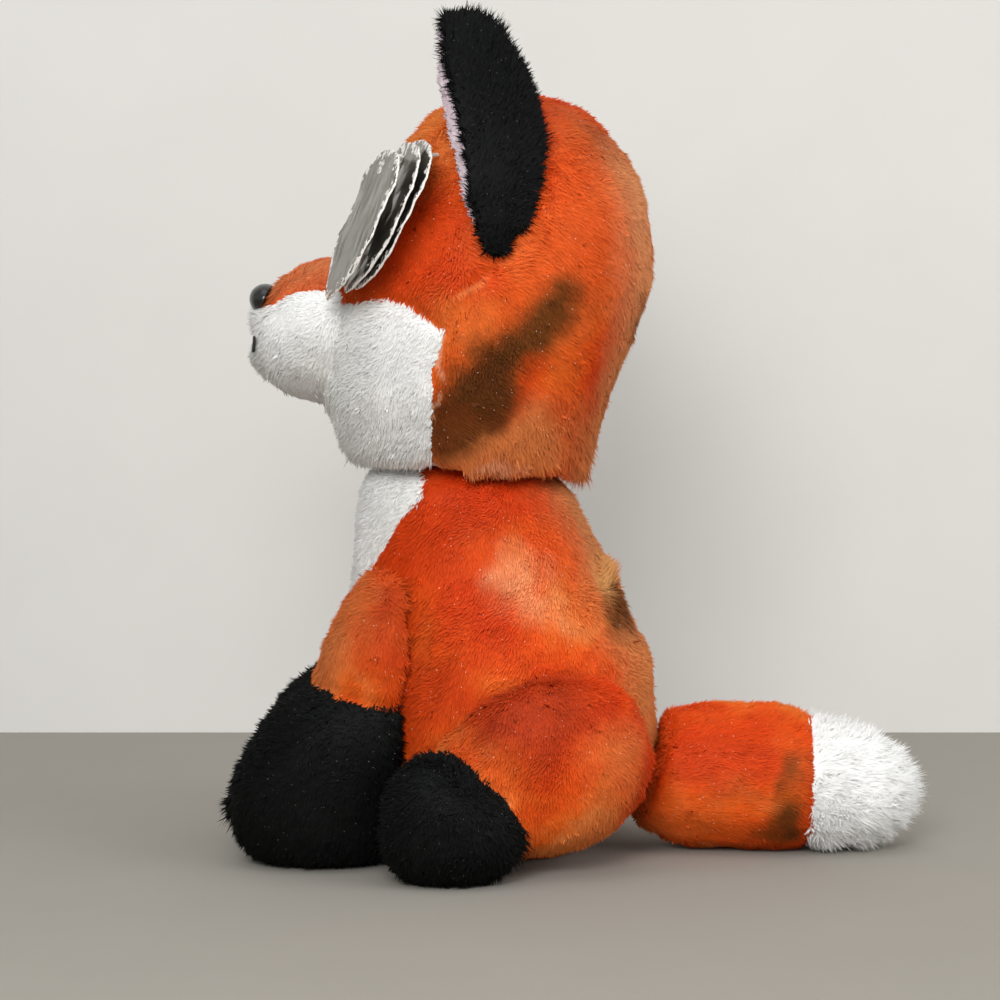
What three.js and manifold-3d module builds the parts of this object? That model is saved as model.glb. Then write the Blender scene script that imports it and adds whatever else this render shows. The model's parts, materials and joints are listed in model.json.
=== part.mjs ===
// A small sitting fox made of plush: sewn fabric panels round soft stuffing, with hard eyes and nose.
// Millimetres. +Z is up, the fox faces -Y, its left side is +X, and it stands on z = 0.
import * as THREE from "three";
import { mergeVertices } from "three/addons/utils/BufferGeometryUtils.js";
import Module from "manifold-3d";

const wasm = await Module();
wasm.setup();

// Fits between pieces
const sewnGap = 0.3;
// Points nearer than this share of it are one point
const mergeShare = 0.001;
const seamGap = 0.4;
const overrun = 30;

// Fabric, measured from the stuffing to the middle of the pile
const plushThickness = 2;
const shagThickness = 3.2;
const liningThickness = 1.6;

// Torso: a pear that leans back a little
const torso = {
  height: 102.5,
  depth: 76,
  halfWidth: 37.5,
  middle: -17,
  // Shares of height, of depth for the middle and the reach, and of half width, up to the shoulders
  ringShares: [
    [-0.005, 0.013, 0.184, 0.373],
    [0.015, -0.012, 0.255, 0.6],
    [0.062, -0.01, 0.362, 0.8],
    [0.147, 0, 0.452, 0.95],
    [0.293, 0.009, 0.495, 1],
    [0.468, -0.007, 0.487, 0.92],
    [0.622, -0.059, 0.438, 0.813],
    [0.742, -0.087, 0.397, 0.733],
    [0.863, -0.126, 0.34, 0.685],
  ],
};
// Above them a dome follows the neck's ball: its rings as degrees off the vertical
const domeDegrees = [38, 26, 13, 0];
const seatHeight = 6;
// The white chest's seam: shares of half width and height; it stays before a share of depth
const chestSeamShares = [
  [0.3, -0.3],
  [0.3, 0.615],
  [0.42, 0.665],
  [0.56, 0.745],
  [0.635, 0.83],
  [0.68, 0.9],
  [0.68, 1.3],
];
const chestBackShare = -0.21;

// Pellet bag in the seat
const pelletBag = { halfWidth: 21, depth: 38, height: 24, middleHeightShare: 0.4 };

// Neck: head and body meet on a ball that lets the head turn and nod
const neckBallRadius = 38.5;
const neckBallHeightShare = 0.625;
const neckBallBack = -28;
const neckPadThickness = 2;
const neckPadReachShare = 0.57;
const neckStemRadius = 9;
const neckStemLength = 14;
const turningGap = 0.5;
const noddingGap = 0.9;

// Head: a big round ball, flatter at the brow
const head = {
  height: 105.2,
  depth: 84,
  halfWidth: 40.5,
  middle: -21,
  neckShare: 0.415,
  ringShares: [
    [0, -0.036, 0.119, 0.247],
    [0.022, -0.03, 0.225, 0.46],
    [0.09, -0.032, 0.303, 0.63],
    [0.19, -0.058, 0.371, 0.815],
    [0.3, -0.063, 0.427, 0.945],
    [0.43, -0.04, 0.463, 1],
    [0.56, 0.008, 0.476, 1],
    [0.68, 0.042, 0.443, 0.953],
    [0.78, 0.063, 0.385, 0.87],
    [0.87, 0.068, 0.32, 0.745],
    [0.945, 0.066, 0.235, 0.54],
    [0.985, 0.055, 0.135, 0.3],
    [1, 0.048, 0, 0],
  ],
  // The seam from the crown past the ear to the cheek's corner and the neck: shares of depth and height
  earSeamShares: [
    [0.06, 1.2],
    [0.045, 0.93],
    [0.03, 0.8],
    [0.028, 0.604],
    [-0.03, 0.57],
    [-0.115, 0.455],
    [-0.15, 0.368],
    [-0.16, 0.12],
    [-0.16, -0.2],
  ],
  // The seam between white cheek and orange face, from the cheek's corner forwards
  cheekSeamShares: [
    [0.6, 0.43],
    [-0.115, 0.455],
    [-0.21, 0.508],
    [-0.28, 0.528],
    [-0.455, 0.51],
    [-1, 0.51],
  ],
};

// Muzzle: a short snout on the front of the head, stacked along Y from its tip
const muzzle = {
  length: 32.3,
  height: 37,
  halfWidth: 22.5,
  reachShare: 0.183,
  centreShare: 0.447,
  ringShares: [
    [0, -0.014, 0, 0],
    [0.02, -0.02, 0.13, 0.3],
    [0.09, -0.033, 0.262, 0.56],
    [0.22, -0.017, 0.395, 0.765],
    [0.42, 0.006, 0.483, 0.925],
    [0.7, 0.016, 0.504, 0.985],
    [0.938, 0, 0.486, 1],
    [1, 0, 0.324, 0.711],
  ],
  // Where the orange bridge meets the white: shares of length from the tip, and of height
  bridgeSeamShares: [
    [-0.5, 0.14],
    [0.15, 0.19],
    [0.36, 0.28],
    [0.6, 0.28],
    [1.6, 0.28],
  ],
};

// Nose and eyes: domed plastic on a shank with a washer inside
const nose = { halfWidth: 5.8, halfHeight: 3.9, dome: 4.2, heightShare: 0.22, tiltDegrees: 24 };
const eye = {
  radius: 6.2,
  dome: 3.6,
  aside: 15.5,
  heightShare: 0.64,
  outwardDegrees: 24,
  upwardDegrees: 12,
};
const seatDepth = 0.8;
const shankRadius = 1.5;
const shankLength = 9;
const washerRadius = 4.6;
const washerThickness = 1.2;

// Smile: one satin-stitched line across the front of the muzzle
const smile = { halfWidth: 7.5, sag: 5, heightShare: -0.03, threadRadius: 0.75 };

// Ears: cupped leaves that open forwards
const ear = {
  height: 60,
  depth: 39,
  halfWidth: 15.4,
  seatShare: 0.575,
  asideShare: 0.735,
  middle: -27,
  // The seam that it folds about: shares of the head's half width and of the ear's depth, and its lean
  foldAsideShare: 0.94,
  foldBackShare: 0.24,
  foldLeanDegrees: 30.5,
  // Shares of height, of depth for the middle and the reach, of half width, and of half width for the lean
  ringShares: [
    [0, 0.04, 0.08, 0.2, 0.32],
    [0.06, 0.07, 0.3, 0.54, 0.28],
    [0.18, 0.06, 0.45, 0.8, 0.14],
    [0.34, 0.035, 0.485, 0.96, 0.06],
    [0.52, 0, 0.5, 1, 0],
    [0.68, -0.04, 0.485, 0.95, -0.03],
    [0.82, -0.08, 0.44, 0.76, -0.08],
    [0.93, -0.1, 0.34, 0.48, -0.08],
    [0.985, -0.08, 0.2, 0.22, -0.06],
    [1, -0.05, 0, 0, -0.05],
  ],
  // The cup's open front edge: shares of depth from the middle, and of height
  edgeShares: [
    [0.24, -0.3],
    [0.24, 0],
    [0.12, 0.1],
    [0.05, 0.27],
    [0.01, 0.5],
    [-0.05, 0.7],
    [-0.12, 0.85],
    [-0.1, 1.1],
  ],
  // The lining stands a little proud of it halfway up
  liningEdgeShares: [
    [0.24, -0.3],
    [0.24, 0],
    [0.14, 0.1],
    [0.01, 0.27],
    [-0.07, 0.5],
    [-0.13, 0.7],
    [-0.155, 0.85],
    [-0.13, 1.1],
  ],
};
const earFoldDegrees = 8;

// Forelegs: an orange sleeve that ends in a big black boot
const sleeve = {
  height: 46,
  depth: 31,
  halfWidth: 13,
  asideShare: 0.5,
  reachShare: 0.225,
  liftShare: 0.66,
  ringShares: [
    [0, 0.016, 0.242, 0.462],
    [0.05, 0, 0.43, 0.86],
    [0.22, 0, 0.492, 0.985],
    [0.457, 0.024, 0.476, 0.985],
    [0.65, 0.085, 0.392, 0.87],
    [0.83, 0.14, 0.285, 0.64],
    [0.96, 0.18, 0.16, 0.3],
    [1, 0.194, 0, 0],
  ],
};
const boot = {
  height: 44.5,
  depth: 46.6,
  halfWidth: 16.3,
  asideShare: 0.5,
  reachShare: 0.087,
  ringShares: [
    [-0.011, -0.03, 0.25, 0.36],
    [0.05, -0.03, 0.385, 0.76],
    [0.17, -0.041, 0.462, 0.94],
    [0.33, -0.03, 0.505, 1],
    [0.5, 0.02, 0.51, 1],
    [0.68, 0.09, 0.484, 0.97],
    [0.86, 0.145, 0.4, 0.84],
    [0.97, 0.16, 0.27, 0.55],
    [1, 0.152, 0, 0],
  ],
};
// The shoulder that it swings about: shares of the torso's depth and height
const shoulderBackShare = 0.2;
const shoulderHeightShare = 0.68;
const forelegSwingDegrees = 12;

// Hind legs: a round haunch with a short black foot
const haunch = {
  height: 50.5,
  depth: 56,
  halfWidth: 15,
  asideShare: 0.83,
  backShare: 0.143,
  ringShares: [
    [0.09, -0.05, 0.1, 0.24],
    [0.125, -0.045, 0.24, 0.5],
    [0.21, -0.03, 0.365, 0.8],
    [0.34, -0.01, 0.455, 0.96],
    [0.5, 0.004, 0.488, 1],
    [0.66, 0.014, 0.462, 0.91],
    [0.82, 0.028, 0.38, 0.7],
    [0.94, 0.036, 0.23, 0.4],
    [1, 0.036, 0, 0],
  ],
};
const foot = {
  height: 31,
  depth: 34,
  halfWidth: 11.5,
  asideShare: 0.83,
  reachShare: 0.357,
  ringShares: [
    [-0.016, -0.029, 0.26, 0.3],
    [0.07, -0.018, 0.395, 0.72],
    [0.24, -0.015, 0.482, 0.96],
    [0.45, -0.022, 0.488, 1],
    [0.66, -0.065, 0.41, 0.92],
    [0.86, -0.135, 0.25, 0.65],
    [0.96, -0.158, 0.13, 0.36],
    [1, -0.162, 0, 0],
  ],
};
// The hip that it splays about: shares of the torso's half width and depth
const hipAsideShare = 0.7;
const hipBackShare = 0.07;
const hindlegSplayDegrees = 10;

// Tail: an orange sleeve and a white brush, stacked along Y from its base
const tail = {
  length: 72,
  height: 36,
  halfWidth: 17.5,
  rootShare: 0.124,
  tipShare: 0.63,
  tipSlantShare: 0.1,
  ringShares: [
    [0, 0, 0.194, 0.4],
    [0.06, 0, 0.37, 0.7],
    [0.17, 0, 0.48, 0.88],
    [0.33, 0.002, 0.518, 0.98],
    [0.524, -0.007, 0.507, 0.989],
    [0.7, -0.062, 0.452, 0.875],
    [0.855, -0.097, 0.389, 0.754],
    [0.945, -0.104, 0.27, 0.52],
    [0.987, -0.104, 0.13, 0.26],
    [1, -0.111, 0, 0],
  ],
};
const tailWagDegrees = 12;

// Swing tag: three bare foil leaves on a plastic fastener, hanging before the brow from the ear's root
const tag = {
  height: 38,
  width: 30,
  thickness: 0.6,
  holeRadius: 1.3,
  holeInset: 4,
  holeAsideShare: -0.1,
  // Where the fastener comes out of the head, and how far aside of that the holes are
  rootAside: 26,
  rootHeightShare: 0.838,
  holeAside: 5.5,
  // Where the back leaf comes nearest to the head, and its clearance there
  browAside: 20,
  browHeightShare: 0.7,
  browGap: 0.8,
  // The back leaf leans forwards and turns aside, and each next leaf a little less
  slopeDegrees: 25,
  turnDegrees: 18,
  fanDegrees: 0.5,
  // How far the other leaves hang forward and down from the back leaf
  innerForward: 2.6,
  innerDrop: 0.6,
  coverForward: 7.2,
  coverDrop: 2.2,
  // Half the outline, from the top to the blunt point: shares of half width and of height
  outlineShares: [
    [0, 0],
    [0.45, 0.02],
    [0.78, 0.09],
    [0.95, 0.2],
    [1, 0.36],
    [0.98, 0.54],
    [0.86, 0.71],
    [0.6, 0.86],
    [0.27, 0.96],
    [0, 1],
  ],
};
// The fastener runs this far straight on either side of each leaf
const fastener = { radius: 0.5, straight: 0.9 };

// Facet and step counts
const sides = { big: 20, neck: 12, limb: 12, small: 8, thread: 6 };
const smileSamples = 10;
const smileSteps = 16;
const fastenerSteps = 24;

const fox = new THREE.Group();
const up = new THREE.Vector3(0, 0, 1);
const backwards = new THREE.Vector3(0, 1, 0);
const sideways = new THREE.Vector3(1, 0, 0);

function finish(color, roughness = 0.95, metalness = 0) {
  return new THREE.MeshStandardMaterial({ color, roughness, metalness });
}
const orange = finish("#d2521c");
const white = finish("#e2e1df");
const black = finish("#181a19");
const pink = finish("#d8ccd6");
const fibre = finish("#eeeae0");
const canvas = finish("#cfc7b2");
const glossBlack = finish("#0c0c0d", 0.15);
const gold = finish("#8a7a35", 0.2);
const plastic = finish("#e4e4e0", 0.4);
const foil = finish("#a9a8a2", 0.25, 0.9);

// A closed mesh as a solid
function solidOf(geometry) {
  const bare = geometry.clone();
  bare.deleteAttribute("normal");
  bare.deleteAttribute("uv");
  const merged = mergeVertices(bare, mergeShare * sewnGap);
  return new wasm.Manifold(
    new wasm.Mesh({
      numProp: 3,
      vertProperties: merged.getAttribute("position").array,
      triVerts: new Uint32Array(merged.index.array),
    }),
  );
}

// A solid as a mesh geometry
function geometryOf(solid) {
  const mesh = solid.getMesh();
  const geometry = new THREE.BufferGeometry();
  geometry.setAttribute("position", new THREE.BufferAttribute(mesh.vertProperties, mesh.numProp));
  geometry.setIndex(new THREE.BufferAttribute(mesh.triVerts, 1));
  return geometry;
}

function add(name, solid, material) {
  const mesh = new THREE.Mesh(geometryOf(solid), material);
  mesh.name = name;
  fox.add(mesh);
  return mesh;
}

// A closed body through rounded rings, stacked along Z, or along Y when lying is true
function stackRings(rings, ringSides, lying = false) {
  const positions = [];
  const index = [];
  for (const { at, mid, reach, half, aside } of rings) {
    for (let i = 0; i < ringSides; i++) {
      const angle = (2 * Math.PI * i) / ringSides;
      const across = aside + half * Math.cos(angle);
      const other = mid + reach * Math.sin(angle);
      positions.push(across, lying ? at : other, lying ? other : at);
    }
  }
  const ringAt = (row, i) => row * ringSides + (i % ringSides);
  for (let row = 0; row + 1 < rings.length; row++) {
    for (let i = 0; i < ringSides; i++) {
      const [a, b] = [ringAt(row, i), ringAt(row, i + 1)];
      const [c, d] = [ringAt(row + 1, i), ringAt(row + 1, i + 1)];
      index.push(a, b, d, a, d, c);
    }
  }
  const last = rings.length - 1;
  for (const [row, turned] of [[0, true], [last, false]]) {
    const { at, mid, aside } = rings[row];
    const pole = positions.length / 3;
    positions.push(aside, lying ? at : mid, lying ? mid : at);
    for (let i = 0; i < ringSides; i++) {
      const [a, b] = [ringAt(row, i), ringAt(row, i + 1)];
      index.push(pole, turned ? b : a, turned ? a : b);
    }
  }
  if (lying) index.reverse();
  const geometry = new THREE.BufferGeometry();
  geometry.setAttribute("position", new THREE.Float32BufferAttribute(positions, 3));
  geometry.setIndex(index);
  return mergeVertices(geometry, mergeShare * sewnGap);
}

// The same closed body with every vertex moved out along its normal, or in where the distance is negative
function puffed(geometry, distance) {
  const moved = geometry.clone();
  moved.computeVertexNormals();
  const position = moved.getAttribute("position");
  const normal = moved.getAttribute("normal");
  const point = new THREE.Vector3();
  const step = new THREE.Vector3();
  for (let i = 0; i < position.count; i++) {
    point.fromBufferAttribute(position, i);
    step.fromBufferAttribute(normal, i);
    point.addScaledVector(step, distance);
    position.setXYZ(i, point.x, point.y, point.z);
  }
  return moved;
}

// A form of the toy: its outline as a geometry, with its solid at any offset
function form(geometry) {
  return {
    geometry,
    outer: solidOf(geometry),
    at: (distance) => solidOf(puffed(geometry, distance)),
  };
}

function uprightRings(shape, base, middle, aside) {
  return shape.ringShares.map(([along, mid, reach, half, lean = 0]) => ({
    at: base + along * shape.height,
    mid: middle + mid * shape.depth,
    reach: reach * shape.depth,
    half: half * shape.halfWidth,
    aside: aside + lean * shape.halfWidth,
  }));
}

const uprightForm = (shape, base, middle, aside, ringSides) =>
  form(stackRings(uprightRings(shape, base, middle, aside), ringSides));

function lyingForm(shape, base, middle, ringSides) {
  const rings = shape.ringShares.map(([along, mid, reach, half]) => ({
    at: base + along * shape.length,
    mid: middle + mid * shape.height,
    reach: reach * shape.height,
    half: half * shape.halfWidth,
    aside: 0,
  }));
  return form(stackRings(rings, ringSides, true));
}

// A region that runs right across the toy, given by an outline in Y and Z
function outlineRegion(points) {
  const shape = new THREE.Shape(points.map(([y, z]) => new THREE.Vector2(y, z)));
  const geometry = new THREE.ExtrudeGeometry(shape, { depth: 2 * reach, bevelEnabled: false });
  const turn = new THREE.Matrix4().makeBasis(backwards, up, sideways);
  geometry.applyMatrix4(turn).translate(-reach, 0, 0);
  return solidOf(geometry);
}

function boxRegion(low, high) {
  const size = new THREE.Vector3().subVectors(high, low);
  const centre = new THREE.Vector3().addVectors(low, high).multiplyScalar(0.5);
  return solidOf(new THREE.BoxGeometry(size.x, size.y, size.z).translate(centre.x, centre.y, centre.z));
}

// The whole space that the toy fills, for regions that run past it
const reach = head.height + torso.height + overrun;
const farAbove = new THREE.Vector3(reach, reach, reach);
const farBelow = new THREE.Vector3(-reach, -reach, -reach);
const leftHalf = boxRegion(new THREE.Vector3(seamGap / 2, -reach, -reach), farAbove);
const rightHalf = boxRegion(farBelow, new THREE.Vector3(-seamGap / 2, reach, reach));
const above = (height) => boxRegion(new THREE.Vector3(-reach, -reach, height), farAbove);
const aboveGround = above(0);

// A solid turned by degrees about an axis through a point
function turned(solid, axis, point, degrees) {
  const angle = THREE.MathUtils.degToRad(degrees);
  const matrix = new THREE.Matrix4()
    .makeTranslation(point.x, point.y, point.z)
    .multiply(new THREE.Matrix4().makeRotationAxis(axis, angle))
    .multiply(new THREE.Matrix4().makeTranslation(-point.x, -point.y, -point.z));
  return solid.transform(matrix.elements);
}

// What a fixed neighbour sweeps as seen from a piece that turns through the angles
function swept(solid, axis, point, angles) {
  return angles.map((angle) => turned(solid, axis, point, -angle)).reduce((all, one) => all.add(one));
}

function mirrored(solid) {
  return solid.mirror([1, 0, 0]);
}

// The first point of a geometry that a ray meets, with the outward normal there
function surfaceHit(geometry, from, direction) {
  const mesh = new THREE.Mesh(geometry, new THREE.MeshBasicMaterial({ side: THREE.DoubleSide }));
  const ray = new THREE.Raycaster(from, direction.clone().normalize());
  const [hit] = ray.intersectObject(mesh);
  return { point: hit.point, normal: hit.face.normal.clone() };
}

// Torso
const torsoFront = torso.middle - torso.depth / 2;
const torsoBack = torso.middle + torso.depth / 2;

// Neck ball
const neckCentre = new THREE.Vector3(0, neckBallBack, neckBallHeightShare * torso.height);
const neckPadHalf = neckPadThickness / 2;
const torsoBallRadius = neckBallRadius - neckPadHalf - turningGap;
const headBallRadius = neckBallRadius + neckPadHalf + noddingGap;

// Points of an arc about the neck's centre, from one angle off the vertical to another
function neckArc(radius, from, to) {
  const steps = Math.ceil((sides.neck * Math.abs(to - from)) / Math.PI);
  return Array.from({ length: steps + 1 }, (_, i) => {
    const angle = from + ((to - from) * i) / steps;
    return new THREE.Vector2(radius * Math.sin(angle), radius * Math.cos(angle));
  });
}

// A body turned from a profile about the neck's upright axis
function neckLathe(profile) {
  for (const end of [profile[0], profile[profile.length - 1]]) end.x = 0;
  const lathe = new THREE.LatheGeometry(profile, 2 * sides.neck).rotateX(Math.PI / 2);
  return solidOf(lathe.translate(neckCentre.x, neckCentre.y, neckCentre.z));
}

const ball = (radius) => neckLathe(neckArc(radius, Math.PI, 0));

// The torso's form: its rings up to the shoulders, and a dome under the neck pad
const dome = domeDegrees.map((degrees) => {
  const angle = THREE.MathUtils.degToRad(degrees);
  const round = torsoBallRadius * Math.sin(angle);
  const at = neckCentre.z + torsoBallRadius * Math.cos(angle);
  return { at, mid: neckCentre.y, reach: round, half: round, aside: 0 };
});
const torsoForm = form(stackRings([...uprightRings(torso, 0, torso.middle, 0), ...dome], sides.big));
const torsoClear = torsoForm.at(sewnGap);

// Head and muzzle
const headBase = neckCentre.z + head.neckShare * neckBallRadius;
const headForm = uprightForm(head, headBase, head.middle, 0, sides.big);
const headFront = head.middle - head.depth / 2;
const headY = (share) => head.middle + share * head.depth;
const headZ = (share) => headBase + share * head.height;
const muzzleTip = headFront - muzzle.reachShare * head.depth;
const muzzleZ = headZ(muzzle.centreShare);
const muzzleForm = lyingForm(muzzle, muzzleTip, muzzleZ, sides.limb);
const headBall = ball(headBallRadius);

// Hard features: where each seats, as a frame whose Z points out of the fabric
function seatFrame(geometry, from, direction, turnAside, turnUp) {
  const { point } = surfaceHit(geometry, from, direction);
  const outward = new THREE.Vector3(
    Math.sin(turnAside) * Math.cos(turnUp),
    -Math.cos(turnAside) * Math.cos(turnUp),
    Math.sin(turnUp),
  );
  const across = new THREE.Vector3().crossVectors(up, outward).normalize();
  const upward = new THREE.Vector3().crossVectors(outward, across);
  const origin = point.addScaledVector(outward, -seatDepth);
  return new THREE.Matrix4().makeBasis(across, upward, outward).setPosition(origin);
}

function domeProfile(radius, dome, extra) {
  const points = [new THREE.Vector2(0, -shankLength - extra)];
  points.push(new THREE.Vector2(shankRadius + extra, -shankLength - extra));
  points.push(new THREE.Vector2(shankRadius + extra, -extra));
  const steps = sides.thread;
  for (let i = 0; i <= steps; i++) {
    const angle = (Math.PI / 2) * (i / steps);
    points.push(new THREE.Vector2((radius + extra) * Math.cos(angle), (dome + extra) * Math.sin(angle)));
    if (i === 0) points[points.length - 1].y = extra ? -extra : 0;
  }
  points[points.length - 1].x = 0;
  return points;
}

// A domed button on its shank, with room round it where extra is more than zero
function button(radius, height, squash, frame, extra = 0) {
  const lathe = new THREE.LatheGeometry(domeProfile(radius, height, extra), sides.limb);
  lathe.rotateX(Math.PI / 2);
  lathe.scale(1, squash, 1);
  return solidOf(lathe.applyMatrix4(frame));
}

function washer(frame, depth, extra = 0) {
  const [inner, outer] = [shankRadius + sewnGap - Math.min(extra, sewnGap / 2), washerRadius + extra];
  const [low, high] = [-depth - washerThickness - extra, -depth + extra];
  const points = [
    new THREE.Vector2(inner, low),
    new THREE.Vector2(outer, low),
    new THREE.Vector2(outer, high),
    new THREE.Vector2(inner, high),
    new THREE.Vector2(inner, low),
  ];
  const lathe = new THREE.LatheGeometry(points, sides.limb);
  return solidOf(lathe.rotateX(Math.PI / 2).applyMatrix4(frame));
}

const farFront = headFront - reach;
const noseZ = muzzleZ + nose.heightShare * muzzle.height;
const noseFrame = seatFrame(
  muzzleForm.geometry,
  new THREE.Vector3(0, farFront, noseZ),
  backwards,
  0,
  THREE.MathUtils.degToRad(nose.tiltDegrees),
);
const eyeFrame = seatFrame(
  headForm.geometry,
  new THREE.Vector3(eye.aside, farFront, headZ(eye.heightShare)),
  backwards,
  THREE.MathUtils.degToRad(eye.outwardDegrees),
  THREE.MathUtils.degToRad(eye.upwardDegrees),
);
const noseSquash = nose.halfHeight / nose.halfWidth;
const washerDepth = plushThickness + sewnGap + washerThickness / 2;

const noseRoom = button(nose.halfWidth, nose.dome, noseSquash, noseFrame, sewnGap);
const eyeRoom = button(eye.radius, eye.dome, 1, eyeFrame, sewnGap);
const washerRoom = (frame) => washer(frame, washerDepth, sewnGap);

add("nose", button(nose.halfWidth, nose.dome, noseSquash, noseFrame), glossBlack);
add("nose_washer", washer(noseFrame, washerDepth), plastic);
const leftEye = button(eye.radius, eye.dome, 1, eyeFrame);
const leftWasher = washer(eyeFrame, washerDepth);
add("eye_left", leftEye, gold);
add("eye_right", mirrored(leftEye), gold);
add("eye_washer_left", leftWasher, plastic);
add("eye_washer_right", mirrored(leftWasher), plastic);

// Smile: a thread that follows the front of the muzzle
function smilePath() {
  const points = [];
  const top = muzzleZ + smile.heightShare * muzzle.height;
  for (let i = 0; i <= smileSamples; i++) {
    const share = (2 * i) / smileSamples - 1;
    const rise = smile.sag * (share ** 4 - 1);
    const from = new THREE.Vector3(share * smile.halfWidth, farFront, top + rise);
    points.push(surfaceHit(muzzleForm.geometry, from, backwards).point);
  }
  return new THREE.CatmullRomCurve3(points);
}

function threadAlong(path, radius, steps) {
  const outline = [];
  for (let i = 0; i < sides.thread; i++) {
    const angle = (2 * Math.PI * i) / sides.thread;
    outline.push(new THREE.Vector2(radius * Math.cos(angle), radius * Math.sin(angle)));
  }
  return solidOf(new THREE.ExtrudeGeometry(new THREE.Shape(outline), { steps, extrudePath: path }));
}

const smileCurve = smilePath();
const smileThread = threadAlong(smileCurve, smile.threadRadius, smileSteps);
const smileRoom = threadAlong(smileCurve, smile.threadRadius + sewnGap, smileSteps);
add("mouth_stitch", smileThread, black);

// Head skin: panels between the outline and the stuffing
const headInner = headForm.at(-plushThickness);
const muzzleInner = muzzleForm.at(-plushThickness);
const features = [eyeRoom, mirrored(eyeRoom), noseRoom];
const washers = [washerRoom(eyeFrame), mirrored(washerRoom(eyeFrame)), washerRoom(noseFrame)];

function without(solid, others) {
  return others.reduce((rest, other) => rest.subtract(other), solid);
}

const headSkin = without(headForm.outer.subtract(headInner), [muzzleInner, headBall, ...features]);

// What lies past a seam in Y or above or below it in Z, given the seam's points, the shift and the far side
const pastSeamY = (seam, shift, far) =>
  outlineRegion([...seam.map(([y, z]) => [y + shift, z]), [far, seam.at(-1)[1]], [far, seam[0][1]]]);
const pastSeamZ = (seam, shift, far) =>
  outlineRegion([...seam.map(([y, z]) => [y, z + shift]), [seam.at(-1)[0], far], [seam[0][0], far]]);

const headPoints = (shares) => shares.map(([y, z]) => [headY(y), headZ(z)]);
const earSeam = headPoints(head.earSeamShares);
const cheekSeam = headPoints(head.cheekSeamShares);
const behindSeam = pastSeamY(earSeam, seamGap / 2, reach);
const beforeSeam = pastSeamY(earSeam, -seamGap / 2, -reach);
const aboveCheek = pastSeamZ(cheekSeam, seamGap / 2, reach);
const belowCheek = pastSeamZ(cheekSeam, -seamGap / 2, -reach);

const headBack = headSkin.intersect(behindSeam);
const headFace = headSkin.intersect(beforeSeam).intersect(aboveCheek);
const headCheek = headSkin.intersect(beforeSeam).intersect(belowCheek);
for (const [side, half] of [["left", leftHalf], ["right", rightHalf]]) {
  add(`head_back_${side}`, headBack.intersect(half), orange);
  add(`face_panel_${side}`, headFace.intersect(half), orange);
  add(`cheek_${side}`, headCheek.intersect(half), white);
}

// Muzzle skin: white, with an orange bridge
const headClear = headForm.at(sewnGap);
const muzzleSkin = without(muzzleForm.outer.subtract(muzzleInner), [headClear, noseRoom, smileRoom]);
const bridgeSeam = muzzle.bridgeSeamShares.map(([y, z]) => [
  muzzleTip + y * muzzle.length,
  muzzleZ + z * muzzle.height,
]);
const aboveBridge = pastSeamZ(bridgeSeam, seamGap / 2, reach);
const belowBridge = pastSeamZ(bridgeSeam, -seamGap / 2, -reach);
add("bridge_panel", muzzleSkin.intersect(aboveBridge), orange);
add("muzzle_panel", muzzleSkin.intersect(belowBridge), white);

// Head stuffing: one wad that fills head and muzzle
const headWad = headForm.at(-plushThickness - sewnGap).add(muzzleForm.at(-plushThickness - sewnGap));
add("head_stuffing", without(headWad, [headBall, ...features, ...washers]), fibre);

// Neck stuffing: a pad on the ball with a stem down into the body
const rimAngle = Math.asin(neckPadReachShare);
const padLow = neckBallRadius - neckPadHalf;
const stemBottom = padLow - neckStemLength;
const neckPad = neckLathe([
  new THREE.Vector2(0, stemBottom),
  new THREE.Vector2(neckStemRadius, stemBottom),
  ...neckArc(padLow, Math.asin(neckStemRadius / padLow), rimAngle),
  ...neckArc(neckBallRadius + neckPadHalf, rimAngle, 0),
]);
add("neck_stuffing", neckPad, fibre);

// Torso panels and stuffing
const stemRoomRadius = neckStemRadius + turningGap;
const stemRoom = neckLathe([
  new THREE.Vector2(0, stemBottom - turningGap),
  new THREE.Vector2(stemRoomRadius, stemBottom - turningGap),
  new THREE.Vector2(stemRoomRadius, neckBallRadius),
  new THREE.Vector2(0, neckBallRadius),
]);
const torsoInner = torsoForm.at(-plushThickness);
const torsoSkin = torsoForm.outer.subtract(torsoInner).subtract(stemRoom).intersect(aboveGround);
const seatTop = above(seatHeight + seamGap / 2);
const seatSpace = boxRegion(farBelow, new THREE.Vector3(reach, reach, seatHeight - seamGap / 2));

function chestRegion(extra) {
  const seam = chestSeamShares.map(([across, along]) => [across * torso.halfWidth + extra, along * torso.height]);
  const left = seam.map(([x, z]) => new THREE.Vector2(x, z));
  const right = seam.map(([x, z]) => new THREE.Vector2(-x, z)).reverse();
  const shape = new THREE.Shape([...left, ...right]);
  const geometry = new THREE.ExtrudeGeometry(shape, { depth: torso.depth, bevelEnabled: false });
  const back = torso.middle + chestBackShare * torso.depth + extra;
  return solidOf(geometry.rotateX(Math.PI / 2).translate(0, back, 0));
}
const torsoSide = torsoSkin.intersect(seatTop).subtract(chestRegion(seamGap));
add("side_panel_left", torsoSide.intersect(leftHalf), orange);
add("side_panel_right", torsoSide.intersect(rightHalf), orange);
add("chest_panel", torsoSkin.intersect(seatTop).intersect(chestRegion(0)), white);
add("seat_panel", torsoSkin.intersect(seatSpace), orange);

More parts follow.
